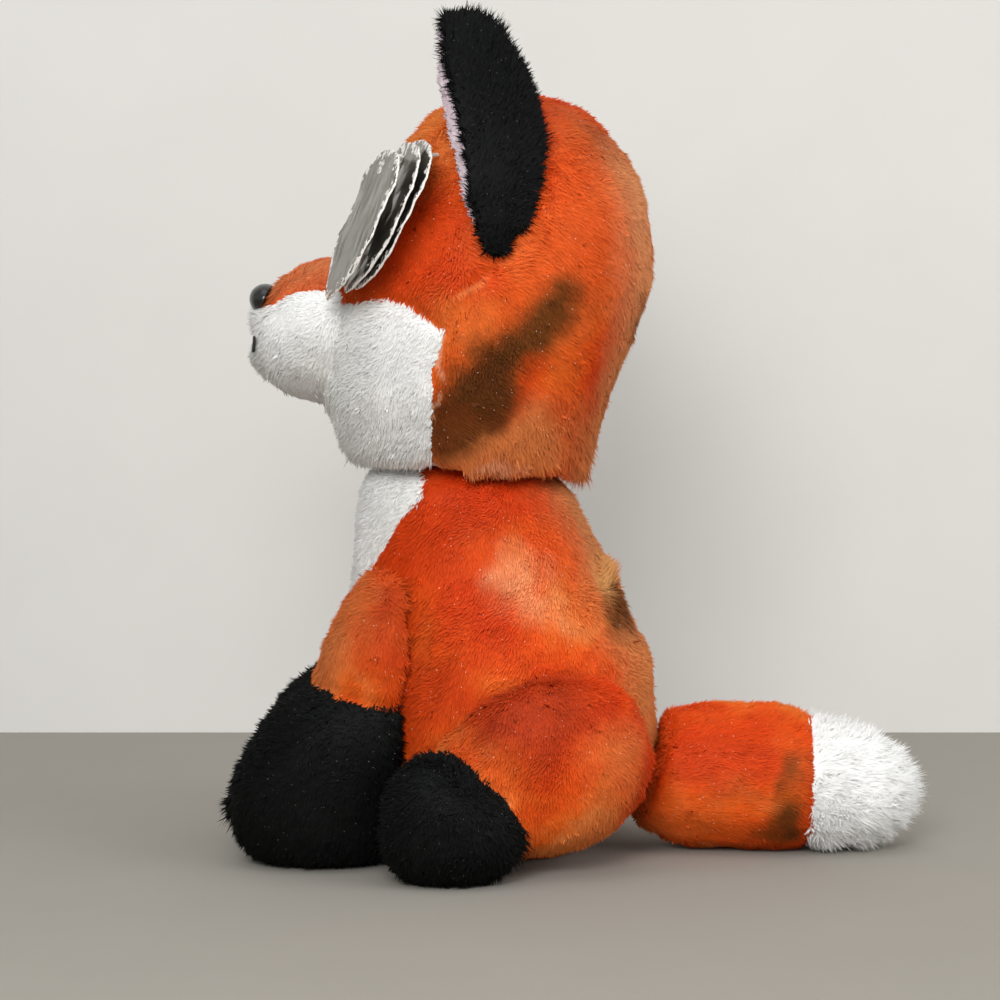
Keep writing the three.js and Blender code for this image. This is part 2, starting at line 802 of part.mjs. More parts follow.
function pelletSolid(extra) {
  const sphere = new THREE.SphereGeometry(1, sides.limb, sides.small);
  const floor = plushThickness + sewnGap;
  const egg = sphere
    .rotateX(Math.PI / 2)
    .scale(pelletBag.halfWidth + extra, pelletBag.depth / 2 + extra, pelletBag.height / 2 + extra)
    .translate(0, torso.middle, floor + pelletBag.middleHeightShare * pelletBag.height);
  return solidOf(egg).intersect(above(floor - extra));
}
add("pellet_bag", pelletSolid(0), canvas);
const torsoWad = torsoForm.at(-plushThickness - sewnGap).intersect(above(plushThickness + sewnGap));
add("torso_stuffing", without(torsoWad, [stemRoom, pelletSolid(sewnGap)]), fibre);

// Ears
const earBase = headZ(ear.seatShare);
const earAside = ear.asideShare * head.halfWidth;
const earForm = uprightForm(ear, earBase, ear.middle, earAside, sides.limb);
const earLean = THREE.MathUtils.degToRad(ear.foldLeanDegrees);
const earAxis = new THREE.Vector3(-Math.sin(earLean), 0, Math.cos(earLean));
const earPivot = new THREE.Vector3(
  ear.foldAsideShare * head.halfWidth,
  ear.middle + ear.foldBackShare * ear.depth,
  earBase,
);
const headFromEar = swept(headClear, earAxis, earPivot, [-earFoldDegrees, 0, earFoldDegrees]);

const earPoints = (shares) => shares.map(([y, z]) => [ear.middle + y * ear.depth, earBase + z * ear.height]);
const liningOuter = earForm.at(-plushThickness - sewnGap);
const liningShell = liningOuter.subtract(earForm.at(-plushThickness - sewnGap - liningThickness));
const earBack = earForm.outer
  .subtract(earForm.at(-plushThickness))
  .intersect(pastSeamY(earPoints(ear.edgeShares), 0, reach))
  .subtract(headFromEar);
const earLining = liningShell
  .intersect(pastSeamY(earPoints(ear.liningEdgeShares), 0, reach))
  .subtract(headFromEar);
add("ear_back_left", earBack, black);
add("ear_back_right", mirrored(earBack), black);
add("ear_lining_left", earLining, pink);
add("ear_lining_right", mirrored(earLining), pink);

// Forelegs
const shoulder = new THREE.Vector3(
  0,
  torsoFront + shoulderBackShare * torso.depth,
  shoulderHeightShare * torso.height,
);
const torsoFromForeleg = swept(torsoClear, sideways, shoulder, [-forelegSwingDegrees, 0]);
const sleeveForm = uprightForm(
  sleeve,
  boot.height * sleeve.liftShare,
  torsoFront + sleeve.reachShare * sleeve.depth,
  sleeve.asideShare * torso.halfWidth,
  sides.limb,
);
const bootForm = uprightForm(
  boot,
  0,
  torsoFront - boot.reachShare * boot.depth,
  boot.asideShare * torso.halfWidth,
  sides.limb,
);
const sleeveInner = sleeveForm.at(-plushThickness);
const bootShell = bootForm.outer.subtract(bootForm.at(-shagThickness));
const bootSkin = without(bootShell, [sleeveInner, torsoFromForeleg]);
const sleeveSkin = without(sleeveForm.outer.subtract(sleeveInner), [bootForm.at(sewnGap), torsoFromForeleg]);
const legWad = sleeveForm
  .at(-plushThickness - sewnGap)
  .add(bootForm.at(-shagThickness - sewnGap))
  .subtract(torsoFromForeleg);

// Hind legs
const hip = new THREE.Vector3(hipAsideShare * torso.halfWidth, torsoBack - hipBackShare * torso.depth, 0);
const bootClear = bootForm.at(sewnGap);
const haunchMiddle = torso.middle + haunch.backShare * haunch.depth;
const haunchAside = haunch.asideShare * torso.halfWidth;
const haunchForm = uprightForm(haunch, 0, haunchMiddle, haunchAside, sides.limb);
const footForm = uprightForm(
  foot,
  0,
  haunchMiddle - foot.reachShare * haunch.depth,
  haunchAside + foot.asideShare * haunch.halfWidth,
  sides.limb,
);
const torsoFromHindleg = swept(torsoClear, up, hip, [0, hindlegSplayDegrees]);
const footInner = footForm.at(-shagThickness);
const haunchInner = haunchForm.at(-plushThickness);
const haunchSkin = without(haunchForm.outer.subtract(haunchInner), [footInner, torsoFromHindleg, bootClear]);
const footShell = footForm.outer.subtract(footInner);
const footSkin = without(footShell, [haunchForm.at(sewnGap), torsoFromHindleg, bootClear]);
const hindWad = without(haunchForm.at(-plushThickness - sewnGap).add(footForm.at(-shagThickness - sewnGap)), [
  torsoFromHindleg,
  bootClear,
]);

const limbPieces = [
  ["foreleg_sleeve", sleeveSkin, orange],
  ["boot", bootSkin, black],
  ["foreleg_stuffing", legWad, fibre],
  ["haunch", haunchSkin, orange],
  ["foot", footSkin, black],
  ["hindleg_stuffing", hindWad, fibre],
];
for (const [name, solid, material] of limbPieces) {
  const standing = solid.intersect(aboveGround);
  add(`${name}_left`, standing, material);
  add(`${name}_right`, mirrored(standing), material);
}

// Tail
const tailBase = torsoBack - tail.rootShare * tail.length;
const tailForm = lyingForm(tail, tailBase, tail.height / 2, sides.limb);
const tailPivot = new THREE.Vector3(0, tailBase, 0);
const torsoFromTail = swept(torsoClear, up, tailPivot, [-tailWagDegrees, 0, tailWagDegrees]);
const tipSeam = tailBase + tail.tipShare * tail.length;
const tipSlant = tail.tipSlantShare * tail.height;
const tailSkin = tailForm.outer
  .subtract(tailForm.at(-plushThickness))
  .subtract(torsoFromTail)
  .intersect(aboveGround);
const tipPoints = [
  [tipSeam - tipSlant / 2, -overrun],
  [tipSeam + tipSlant / 2, tail.height + overrun],
];
const beforeTip = pastSeamY(tipPoints, -seamGap / 2, -reach);
const afterTip = pastSeamY(tipPoints, seamGap / 2, reach);
add("tail_sleeve", tailSkin.intersect(beforeTip), orange);
add("tail_tip", tailSkin.intersect(afterTip), white);
const tailWad = tailForm.at(-plushThickness - sewnGap).subtract(torsoFromTail);
add("tail_stuffing", tailWad.intersect(aboveGround), fibre);

// Swing tag
// A leaf's outline, with the top of its middle line at the origin
function leafShape() {
  const side = tag.outlineShares.map(([x, y]) => new THREE.Vector2((x * tag.width) / 2, -y * tag.height));
  const other = side.slice(1, -1).reverse();
  const shape = new THREE.Shape([...side, ...other.map((point) => new THREE.Vector2(-point.x, point.y))]);
  const hole = new THREE.Path();
  hole.absarc(tag.holeAsideShare * tag.width, -tag.holeInset, tag.holeRadius, 0, 2 * Math.PI);
  shape.holes.push(hole);
  return shape;
}

const onBrow = (aside, share) =>
  surfaceHit(headForm.geometry, new THREE.Vector3(aside, farFront, headZ(share)), backwards);
const root = onBrow(tag.rootAside, tag.rootHeightShare);
const brow = onBrow(tag.browAside, tag.browHeightShare);

// A leaf's own axes: X across it, Y up its length, Z out of its face
function leafAxes(rank) {
  const lean = THREE.MathUtils.degToRad(tag.slopeDegrees - rank * tag.fanDegrees);
  const aside = THREE.MathUtils.degToRad(tag.turnDegrees - rank * tag.fanDegrees);
  const upLeaf = new THREE.Vector3(0, Math.sin(lean), Math.cos(lean));
  const out = new THREE.Vector3(0, -Math.cos(lean), Math.sin(lean)).applyAxisAngle(upLeaf, aside);
  const across = sideways.clone().applyAxisAngle(upLeaf, aside);
  return { across, upLeaf, out };
}

// The back leaf's hole: its leaf's plane passes the brow at the clearance
const { out: backOut } = leafAxes(0);
const firstHole = root.point.clone().add(new THREE.Vector3(tag.holeAside, 0, 0));
const short = new THREE.Vector3().subVectors(brow.point, firstHole).dot(backOut) + tag.browGap;
firstHole.addScaledVector(backwards, short / backOut.y);

const leaves = [
  { name: "tag_back_leaf", forward: 0, drop: 0 },
  { name: "tag_inner_leaf", forward: tag.innerForward, drop: tag.innerDrop },
  { name: "tag_cover", forward: tag.coverForward, drop: tag.coverDrop },
];
const holes = leaves.map(({ name, forward, drop }, rank) => {
  const { across, upLeaf, out } = leafAxes(rank);
  const hole = firstHole.clone().add(new THREE.Vector3(0, -forward, -drop));
  const frame = new THREE.Matrix4().makeBasis(across, upLeaf, out).setPosition(hole);
  const geometry = new THREE.ExtrudeGeometry(leafShape(), {
    depth: tag.thickness,
    bevelEnabled: false,
    curveSegments: sides.thread,
  });
  geometry.translate(-tag.holeAsideShare * tag.width, tag.holeInset, 0);
  add(name, solidOf(geometry.applyMatrix4(frame)), foil);
  return { middle: hole.addScaledVector(out, tag.thickness / 2), out };
});

// Fastener: a plastic line out of the head and straight through each of the three holes
const off = sewnGap + fastener.radius;
const besideHoles = holes.flatMap(({ middle, out }) =>
  [-fastener.straight, fastener.straight].map((step) => middle.clone().addScaledVector(out, step)),
);
const fastenerPath = new THREE.CatmullRomCurve3([
  root.point.clone().addScaledVector(root.normal, off),
  ...besideHoles,
]);
add("tag_fastener", threadAlong(fastenerPath, fastener.radius, fastenerSteps), plastic);

export default fox;
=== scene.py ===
"""The looks of a plush fox: sewn pile fabric over stuffing, plastic eyes and nose, and a foil tag."""

import sys
import json
import logging
import math
from contextlib import contextmanager
from dataclasses import dataclass, field, replace
from enum import Enum
from typing import Any, Iterator, Optional, Sequence

import bpy
import numpy as np
from mathutils import Matrix, Vector
from mathutils.bvhtree import BVHTree
from mathutils.kdtree import KDTree

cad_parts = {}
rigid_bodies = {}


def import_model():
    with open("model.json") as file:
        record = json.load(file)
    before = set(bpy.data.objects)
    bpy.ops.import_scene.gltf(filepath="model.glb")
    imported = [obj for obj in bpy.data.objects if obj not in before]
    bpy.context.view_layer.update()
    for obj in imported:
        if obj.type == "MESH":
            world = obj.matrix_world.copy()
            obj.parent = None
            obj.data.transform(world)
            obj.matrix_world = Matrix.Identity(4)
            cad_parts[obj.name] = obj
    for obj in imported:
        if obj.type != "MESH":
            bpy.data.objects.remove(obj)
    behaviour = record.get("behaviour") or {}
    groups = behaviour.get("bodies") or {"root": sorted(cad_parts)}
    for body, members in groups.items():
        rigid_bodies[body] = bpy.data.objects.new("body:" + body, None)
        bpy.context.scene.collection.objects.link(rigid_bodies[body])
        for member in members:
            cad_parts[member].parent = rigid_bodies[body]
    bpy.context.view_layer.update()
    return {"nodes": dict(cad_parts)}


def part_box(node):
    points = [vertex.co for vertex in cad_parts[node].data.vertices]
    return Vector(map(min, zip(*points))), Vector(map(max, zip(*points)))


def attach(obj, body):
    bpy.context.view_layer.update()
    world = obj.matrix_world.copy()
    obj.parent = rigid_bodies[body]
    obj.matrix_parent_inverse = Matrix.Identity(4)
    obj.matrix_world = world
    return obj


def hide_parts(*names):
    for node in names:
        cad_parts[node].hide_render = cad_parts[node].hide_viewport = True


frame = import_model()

log = logging.getLogger("plush_fox")

MM = 0.001
SEED = 7
Triple = tuple[float, float, float]
Socket = bpy.types.NodeSocket


class Side(Enum):
    """The toy's own sides, as its nodes name them."""

    LEFT = "left"
    RIGHT = "right"


def both(*names: str) -> tuple[str, ...]:
    """Names with their left and right endings."""
    return tuple(f"{name}_{side.value}" for name in names for side in Side)


# Colours and nodes


def linear(code: str) -> tuple[float, float, float, float]:
    """Turns an sRGB hex colour into a linear one.

    Args:
        code: The colour, such as "#d2521c".

    Returns:
        Red, green, blue and an alpha of 1.
    """
    parts = [int(code[i : i + 2], 16) / 255 for i in (1, 3, 5)]
    lit = [c / 12.92 if c <= 0.04045 else ((c + 0.055) / 1.055) ** 2.4 for c in parts]
    return (lit[0], lit[1], lit[2], 1.0)


def add_node(
    tree: bpy.types.NodeTree,
    kind: str,
    inputs: Optional[dict[Any, Any]] = None,
    stops: Sequence[tuple[float, str]] = (),
    **settings: Any,
) -> bpy.types.Node:
    """Adds a shader node with its settings, values and links.

    Args:
        tree: The node tree that it goes into.
        kind: The node's type name, without its first words.
        inputs: Values or output sockets for its inputs, by name or number.
        stops: The places and hex colours of a colour ramp.
        settings: The node's own settings.

    Returns:
        The new node.
    """
    node = tree.nodes.new("ShaderNode" + kind)
    for key, value in settings.items():
        setattr(node, key, value)
    for key, value in (inputs or {}).items():
        if isinstance(value, Socket):
            tree.links.new(value, node.inputs[key])
        else:
            node.inputs[key].default_value = value
    if stops:
        elements = node.color_ramp.elements
        while len(elements) < len(stops):
            elements.new(0.5)
        for element, (place, code) in zip(elements, stops):
            element.position = place
            element.color = linear(code)
    return node


def new_material(name: str) -> tuple[bpy.types.Material, bpy.types.NodeTree]:
    """Starts a material with an empty node tree and gives both."""
    material = bpy.data.materials.new(name)
    material.use_nodes = True
    material.node_tree.nodes.clear()
    return material, material.node_tree


def close_material(tree: bpy.types.NodeTree, shader: Socket) -> None:
    """Links a shader to the material's output."""
    add_node(tree, "OutputMaterial", {"Surface": shader})


# Mesh helpers


def only(obj: bpy.types.Object) -> None:
    """Selects one object alone and makes it active."""
    bpy.ops.object.select_all(action="DESELECT")
    obj.select_set(True)
    bpy.context.view_layer.objects.active = obj


@contextmanager
def editing(obj: bpy.types.Object, select: str = "DESELECT", mode: str = "FACE") -> Iterator[None]:
    """Edit mode on one object.

    Args:
        obj: The object to edit.
        select: What happens to its selection first, or an empty string to keep it.
        mode: What is selected: VERT, EDGE or FACE.
    """
    only(obj)
    bpy.context.tool_settings.mesh_select_mode = [mode == kind for kind in ("VERT", "EDGE", "FACE")]
    bpy.ops.object.mode_set(mode="EDIT")
    if select:
        bpy.ops.mesh.select_all(action=select)
    yield
    bpy.ops.object.mode_set(mode="OBJECT")


def modify(obj: bpy.types.Object, kind: str, **settings: Any) -> None:
    """Adds a modifier with its settings and applies it.

    Args:
        obj: The object.
        kind: The modifier's type name.
        settings: The modifier's own settings.
    """
    only(obj)
    modifier = obj.modifiers.new(kind.lower(), kind)
    for key, value in settings.items():
        setattr(modifier, key, value)
    bpy.ops.object.modifier_apply(modifier=modifier.name)


def column(items: Any, name: str, width: int = 3, kind: type = np.float32) -> np.ndarray:
    """Reads one value of each of a mesh's parts.

    Args:
        items: The parts, such as a mesh's vertices.
        name: The value's name.
        width: How many numbers it has.
        kind: What the numbers are.

    Returns:
        A table with one row a part, or a flat one where the value is one number.
    """
    flat = np.empty(width * len(items), kind)
    items.foreach_get(name, flat)
    return flat.reshape(-1, width).astype(float if kind is np.float32 else kind) if width > 1 else flat


def points_of(obj: bpy.types.Object) -> np.ndarray:
    """The places of an object's vertices."""
    return column(obj.data.vertices, "co")


def put_points(obj: bpy.types.Object, points: np.ndarray) -> None:
    """Moves an object's vertices to new places."""
    obj.data.vertices.foreach_set("co", points.astype(np.float32).ravel())
    obj.data.update()


def normals_of(obj: bpy.types.Object) -> np.ndarray:
    """The outward directions at an object's vertices."""
    return column(obj.data.vertex_normals, "vector")


def carry(
    obj: bpy.types.Object, name: str, values: np.ndarray, kind: str = "FLOAT", domain: str = "POINT"
) -> None:
    """Writes a named value onto a mesh, for its material or for a later step.

    Args:
        obj: The object.
        name: The value's name.
        values: One number or direction for each part.
        kind: FLOAT or FLOAT_VECTOR.
        domain: POINT or FACE.
    """
    data = obj.data.attributes.new(name, kind, domain).data
    data.foreach_set("value" if kind == "FLOAT" else "vector", values.astype(np.float32).ravel())


def unit(rows: np.ndarray) -> np.ndarray:
    """Rows of a table as directions of length 1."""
    return rows / np.maximum(np.linalg.norm(rows, axis=1, keepdims=True), 1e-12)


def dots(first: np.ndarray, second: np.ndarray) -> np.ndarray:
    """How far each row of one table runs along the same row of another."""
    return np.sum(first * second, axis=1, keepdims=True)


def across(rows: np.ndarray, outward: np.ndarray) -> np.ndarray:
    """The part of each direction that runs along the surface with the given outward directions."""
    return rows - outward * dots(rows, outward)


def new_object(name: str, data: Any) -> bpy.types.Object:
    """Puts a new object with its data into the scene."""
    obj = bpy.data.objects.new(name, data)
    bpy.context.scene.collection.objects.link(obj)
    return obj


def join(objects: Sequence[bpy.types.Object], name: str) -> bpy.types.Object:
    """Joins objects into the first of them and names it."""
    only(objects[0])
    for obj in objects:
        obj.select_set(True)
    bpy.ops.object.join()
    objects[0].name = name
    return objects[0]


def joined_copy(name: str, nodes: Sequence[str]) -> bpy.types.Object:
    """Copies CAD nodes into one object with its doubles merged.

    Args:
        name: The new object's name.
        nodes: The nodes to copy.

    Returns:
        The new object, at the origin.
    """
    copies = []
    for node in nodes:
        source = frame["nodes"][node]
        mesh = source.data.copy()
        mesh.transform(source.matrix_world)
        mesh.materials.clear()
        copies.append(new_object(name, mesh))
    joined = join(copies, name)
    with editing(joined, "SELECT"):
        bpy.ops.mesh.remove_doubles(threshold=0.01 * MM)
    return joined


def mirrored_copy(obj: bpy.types.Object, name: str) -> bpy.types.Object:
    """Copies an object with its own mesh to the other side of the toy.

    Args:
        obj: The object on the left.
        name: The name of the new object.

    Returns:
        The new object on the right.
    """
    mesh = obj.data.copy()
    mesh.transform(Matrix.Scale(-1, 4, (1, 0, 0)))
    mesh.flip_normals()
    return new_object(name, mesh)


def relax(obj: bpy.types.Object, steps: Sequence[float], share: Optional[np.ndarray] = None) -> None:
    """Evens out a mesh's facets.

    Args:
        obj: The object.
        steps: How far each vertex goes to its neighbours' middle, step by step, or from it if below zero.
        share: How much of each step each vertex takes, or all of it.
    """
    points = points_of(obj)
    a, b = column(obj.data.edges, "vertices", 2, np.int32).T
    count = np.bincount(np.concatenate([a, b]), minlength=len(points))[:, None]
    weight = 1.0 if share is None else share[:, None]
    for step in steps:
        total = np.zeros_like(points)
        for axis in range(3):
            total[:, axis] = np.bincount(a, points[b, axis], len(points))
            total[:, axis] += np.bincount(b, points[a, axis], len(points))
        points += step * weight * (total / np.maximum(count, 1) - points)
    put_points(obj, points)


def even_out(obj: bpy.types.Object, rounds: int) -> None:
    """Evens out a mesh's facets without shrinking it, in pairs of inward and outward steps."""
    relax(obj, [0.5, -0.53] * rounds)


def tree_of(nodes: Sequence[str]) -> BVHTree:
    """A search tree over the faces of CAD nodes."""
    points: list[Vector] = []
    faces: list[tuple[int, ...]] = []
    for node in nodes:
        source = frame["nodes"][node]
        start = len(points)
        points.extend(source.matrix_world @ v.co for v in source.data.vertices)
        faces.extend(tuple(start + i for i in p.vertices) for p in source.data.polygons)
    return BVHTree.FromPolygons(points, faces)


def distances(tree: BVHTree, points: np.ndarray, limit: float) -> np.ndarray:
    """How far points are from a tree's faces, at most a limit."""
    hits = (tree.find_nearest(point, limit)[3] for point in points.tolist())
    return np.array([limit if far is None else far for far in hits])


def clearances(tree: BVHTree, points: np.ndarray, limit: float) -> tuple[np.ndarray, np.ndarray]:
    """How far points are from a tree's faces, and which way leads off them.

    Args:
        tree: The search tree.
        points: The points, one a row.
        limit: The most that counts.

    Returns:
        One distance a point, and one direction a point, zero where nothing is near.
    """
    found, off = np.full(len(points), limit), np.zeros_like(points)
    for i, point in enumerate(points.tolist()):
        hit = tree.find_nearest(point, limit)
        if hit[3] is not None:
            found[i] = hit[3]
            off[i] = points[i] - np.array(hit[0])
    return found, unit(off)


def open_to_view(
    tree: BVHTree, points: np.ndarray, outward: np.ndarray, start: float, reach: float
) -> np.ndarray:
    """Finds which places on a surface can be seen past a tree's faces.

    Args:
        tree: The search tree.
        points: The places, one a row.
        outward: The directions out of the surface there.
        start: How far out of the surface a line of sight begins.
        reach: How long it is.

    Returns:
        Whether any line of sight gets away, for each place.
    """
    count = 48
    turns = np.arange(count) * math.pi * (3 - math.sqrt(5))
    level = 1 - 2 * (np.arange(count) + 0.5) / count
    ring = np.sqrt(1 - level**2)
    ways = np.stack([ring * np.cos(turns), ring * np.sin(turns), level], axis=1)
    facing = outward @ ways.T > 0.05
    sight = ways.tolist()
    seen = np.zeros(len(points), bool)
    for i, origin in enumerate((points + outward * start).tolist()):
        rays = np.nonzero(facing[i])[0].tolist()
        seen[i] = any(tree.ray_cast(origin, sight[k], reach)[3] is None for k in rays)
    return seen


def waves(points: np.ndarray, size: float, seed: int, count: int = 5) -> np.ndarray:
    """A smooth random field made of crossing sine waves.

    Args:
        points: Where the field is read.
        size: The waves' length.
        seed: What sets their directions.
        count: How many there are.

    Returns:
        Three values a point, each about -1 to 1.
    """
    rng = np.random.default_rng(seed)
    total = np.zeros((len(points), 3))
    for _ in range(count):
        way = rng.normal(size=3)
        way *= 2 * math.pi / (size * rng.uniform(0.7, 1.4) * np.linalg.norm(way))
        phase = rng.uniform(0, 2 * math.pi, 3)
        total += np.sin((points @ way)[:, None] + phase)
    return total / math.sqrt(count)


def dress(
    obj: bpy.types.Object, body: str, nodes: Sequence[str]
) -> bpy.types.Object:
    """Ties a piece to the frame.

    Args:
        obj: The piece.
        body: The body that it rides on.
        nodes: The CAD nodes that it stands for.

    Returns:
        The piece.
    """
    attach(obj, body)
    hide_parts(*nodes)
    return obj


# Finishes


@dataclass(frozen=True)
class Patch:
    """A dyed patch of the pile: round about one point, or long from one to another, in mm."""

    colour: str
    start: Triple
    end: Triple
    radius: float
    softness: float = 0.6
    strength: float = 1.0

    def mask(self, tree: bpy.types.NodeTree, place: Socket) -> Socket:
        """Builds the patch's mask.

        Args:
            tree: The material's node tree.
            place: The point on the toy, in metres.

        Returns:
            A value from 0 outside to the patch's strength within.
        """
        start = Vector(self.start) * MM
        along = Vector(self.end) * MM - start
        offset = add_node(tree, "VectorMath", {0: place, 1: start}, operation="SUBTRACT").outputs[0]
        if along.length > 0:
            dot = add_node(tree, "VectorMath", {0: offset, 1: along}, operation="DOT_PRODUCT")
            share = add_node(
                tree,
                "Math",
                {0: dot.outputs["Value"], 1: along.length_squared},
                operation="DIVIDE",
                use_clamp=True,
            )
            nearest = add_node(
                tree, "VectorMath", {0: along, "Scale": share.outputs[0]}, operation="SCALE"
            )
            offset = add_node(
                tree, "VectorMath", {0: offset, 1: nearest.outputs[0]}, operation="SUBTRACT"
            ).outputs[0]
        length = add_node(tree, "VectorMath", {0: offset}, operation="LENGTH")
        fade = add_node(
            tree,
            "MapRange",
            {
                "Value": length.outputs["Value"],
                "From Min": self.radius * (1 + self.softness) * MM,
                "From Max": self.radius * (1 - self.softness) * MM,
                "To Max": self.strength,
            },
            interpolation_type="SMOOTHSTEP",
        )
        return fade.outputs[0]


@dataclass(frozen=True)
class PlushFinish:
    """Polyester pile: its dye, painted light in streaks along its nap, painted shade at its roots, and tiny
    tinsel flecks painted bright as glints.
    """

    name: str
    tints: tuple[str, ...]
    patches: tuple[Patch, ...] = ()
    blotch: float = 24.0
    nap: float = 3.0
    nap_way: Triple = (0.0, 0.0, 1.0)
    root_shade: float = 0.78
    strand_share: float = 0.06
    light_streak_share: float = 0.1
    fleck_glint: str = "#fff2e0"
    fleck_size: float = 0.11
    fleck_pitch: float = 1.7
    sheen: float = 0.1
    roughness: float = 0.62

    def material(self) -> bpy.types.Material:
        """Builds the material: a blotched dye, lighter and darker in painted light streaks along the nap,
        with painted shade between the strands.
        """
        material, tree = new_material(self.name)
        place = add_node(tree, "TexCoord").outputs["Object"]
        # A slow swirl makes the dye's edges run as they do on wet-dyed cloth
        swirl = add_node(tree, "TexNoise", {"Vector": place, "Scale": 1 / (14 * MM), "Detail": 3.0})
        centred = add_node(
            tree,
            "VectorMath",
            {0: swirl.outputs["Color"], 1: (0.5, 0.5, 0.5)},
            operation="SUBTRACT",
        )
        shift = add_node(
            tree, "VectorMath", {0: centred.outputs[0], "Scale": 16 * MM}, operation="SCALE"
        )
        run = add_node(tree, "VectorMath", {0: place, 1: shift.outputs[0]}, operation="ADD").outputs[0]
        blotches = add_node(
            tree,
            "TexNoise",
            {"Vector": run, "Scale": 1 / (self.blotch * MM), "Detail": 2.0, "Roughness": 0.45},
        )
        last = len(self.tints) - 1
        stops = [(0.32 + 0.36 * i / max(last, 1), tint) for i, tint in enumerate(self.tints)]
        colour = add_node(
            tree, "ValToRGB", {"Fac": blotches.outputs["Fac"]}, stops=stops
        ).outputs["Color"]
        for patch in self.patches:
            colour = add_node(
                tree,
                "Mix",
                {0: patch.mask(tree, run), 6: colour, 7: linear(patch.colour)},
                data_type="RGBA",
            ).outputs[2]
        # Painted light: the colour runs lighter and darker in streaks along the nap, where the nap would
        # catch the light
        turn = Vector(self.nap_way).to_track_quat("Z", "Y").to_euler()
        mapped = add_node(
            tree,
            "Mapping",
            {"Vector": place, "Rotation": turn, "Scale": (1.0, 1.0, 3.2)},
            vector_type="TEXTURE",
        )
        streaks = add_node(
            tree,
            "TexNoise",
            {"Vector": mapped.outputs[0], "Scale": 1 / (self.nap * MM), "Detail": 4.0, "Roughness": 0.6},
        )
        strand = add_node(tree, "Attribute", attribute_name="strand").outputs["Fac"]
        tip = add_node(tree, "Attribute", attribute_name="tip").outputs["Fac"]
        painted_light_streak = add_node(
            tree,
            "MapRange",
            {
                "Value": streaks.outputs["Fac"],
                "From Min": 0.3,
                "From Max": 0.7,
                "To Min": 1 - self.light_streak_share,
                "To Max": 1 + self.light_streak_share,
            },
        )
        spread = add_node(
            tree,
            "MapRange",
            {"Value": strand, "To Min": 1 - self.strand_share, "To Max": 1 + self.strand_share},
        )
        # Painted shade: the colour is darker towards the roots, darkest on bare backing deep in crevices,
        # and a little lighter at the tips
        root_painted_shade = add_node(
            tree,
            "MapRange",
            {"Value": tip, "To Min": self.root_shade, "To Max": 1.06},
            clamp=False,
        )
        value = add_node(tree, "Math", {0: painted_light_streak.outputs[0], 1: spread.outputs[0]}, operation="MULTIPLY")
        value = add_node(tree, "Math", {0: value.outputs[0], 1: root_painted_shade.outputs[0]}, operation="MULTIPLY")
        shaded = add_node(
            tree, "VectorMath", {0: colour, "Scale": value.outputs[0]}, operation="SCALE"
        ).outputs[0]
        # Tiny tinsel flecks are spun in with the pile; their bright colour is partly the tinsel's own and
        # partly painted glint
        cells = add_node(tree, "TexVoronoi", {"Vector": place, "Scale": 1 / (self.fleck_pitch * MM)})
        chosen = add_node(
            tree,
            "Math",
            {0: cells.outputs["Distance"], 1: self.fleck_size / self.fleck_pitch},
            operation="LESS_THAN",
        )
        flecks = add_node(
            tree,
            "Mix",
            {0: chosen.outputs[0], 6: shaded, 7: linear(self.fleck_glint)},
            data_type="RGBA",
        ).outputs[2]
        shader = add_node(
            tree,
            "BsdfPrincipled",
            {
                "Base Color": flecks,
                "Roughness": self.roughness,
                "Specular IOR Level": 0.12,
                "Sheen Weight": self.sheen,
                "Sheen Roughness": 0.45,
                "Sheen Tint": linear(self.tints[-1]),
            },
        )
        close_material(tree, shader.outputs[0])
        return material


@dataclass(frozen=True)
class PlasticFinish:
    """Moulded plastic, polished or plain."""

    name: str
    colour: str
    roughness: float
    coat: float = 0.0

    def material(self) -> bpy.types.Material:
        """Builds the material: faint clouding in the colour, and fine handling marks in the gloss."""
        material, tree = new_material(self.name)
        place = add_node(tree, "TexCoord").outputs["Object"]
        marks = add_node(tree, "TexNoise", {"Vector": place, "Scale": 1 / (1.2 * MM), "Detail": 5.0})
        gloss = add_node(
            tree,
            "MapRange",
            {
                "Value": marks.outputs["Fac"],
                "From Min": 0.35,
                "From Max": 0.75,
                "To Min": 0.8 * self.roughness,
                "To Max": 1.5 * self.roughness,
            },
        )
        cloud = add_node(
            tree,
            "MapRange",
            {"Value": marks.outputs["Fac"], "To Min": 0.9, "To Max": 1.1},
        )
        tinted = add_node(
            tree,
            "VectorMath",
            {0: linear(self.colour)[:3], "Scale": cloud.outputs[0]},
            operation="SCALE",
        )
        shader = add_node(
            tree,
            "BsdfPrincipled",
            {"Base Color": tinted.outputs[0], "Roughness": gloss.outputs[0], "Coat Weight": self.coat},
        )
        close_material(tree, shader.outputs[0])
        return material


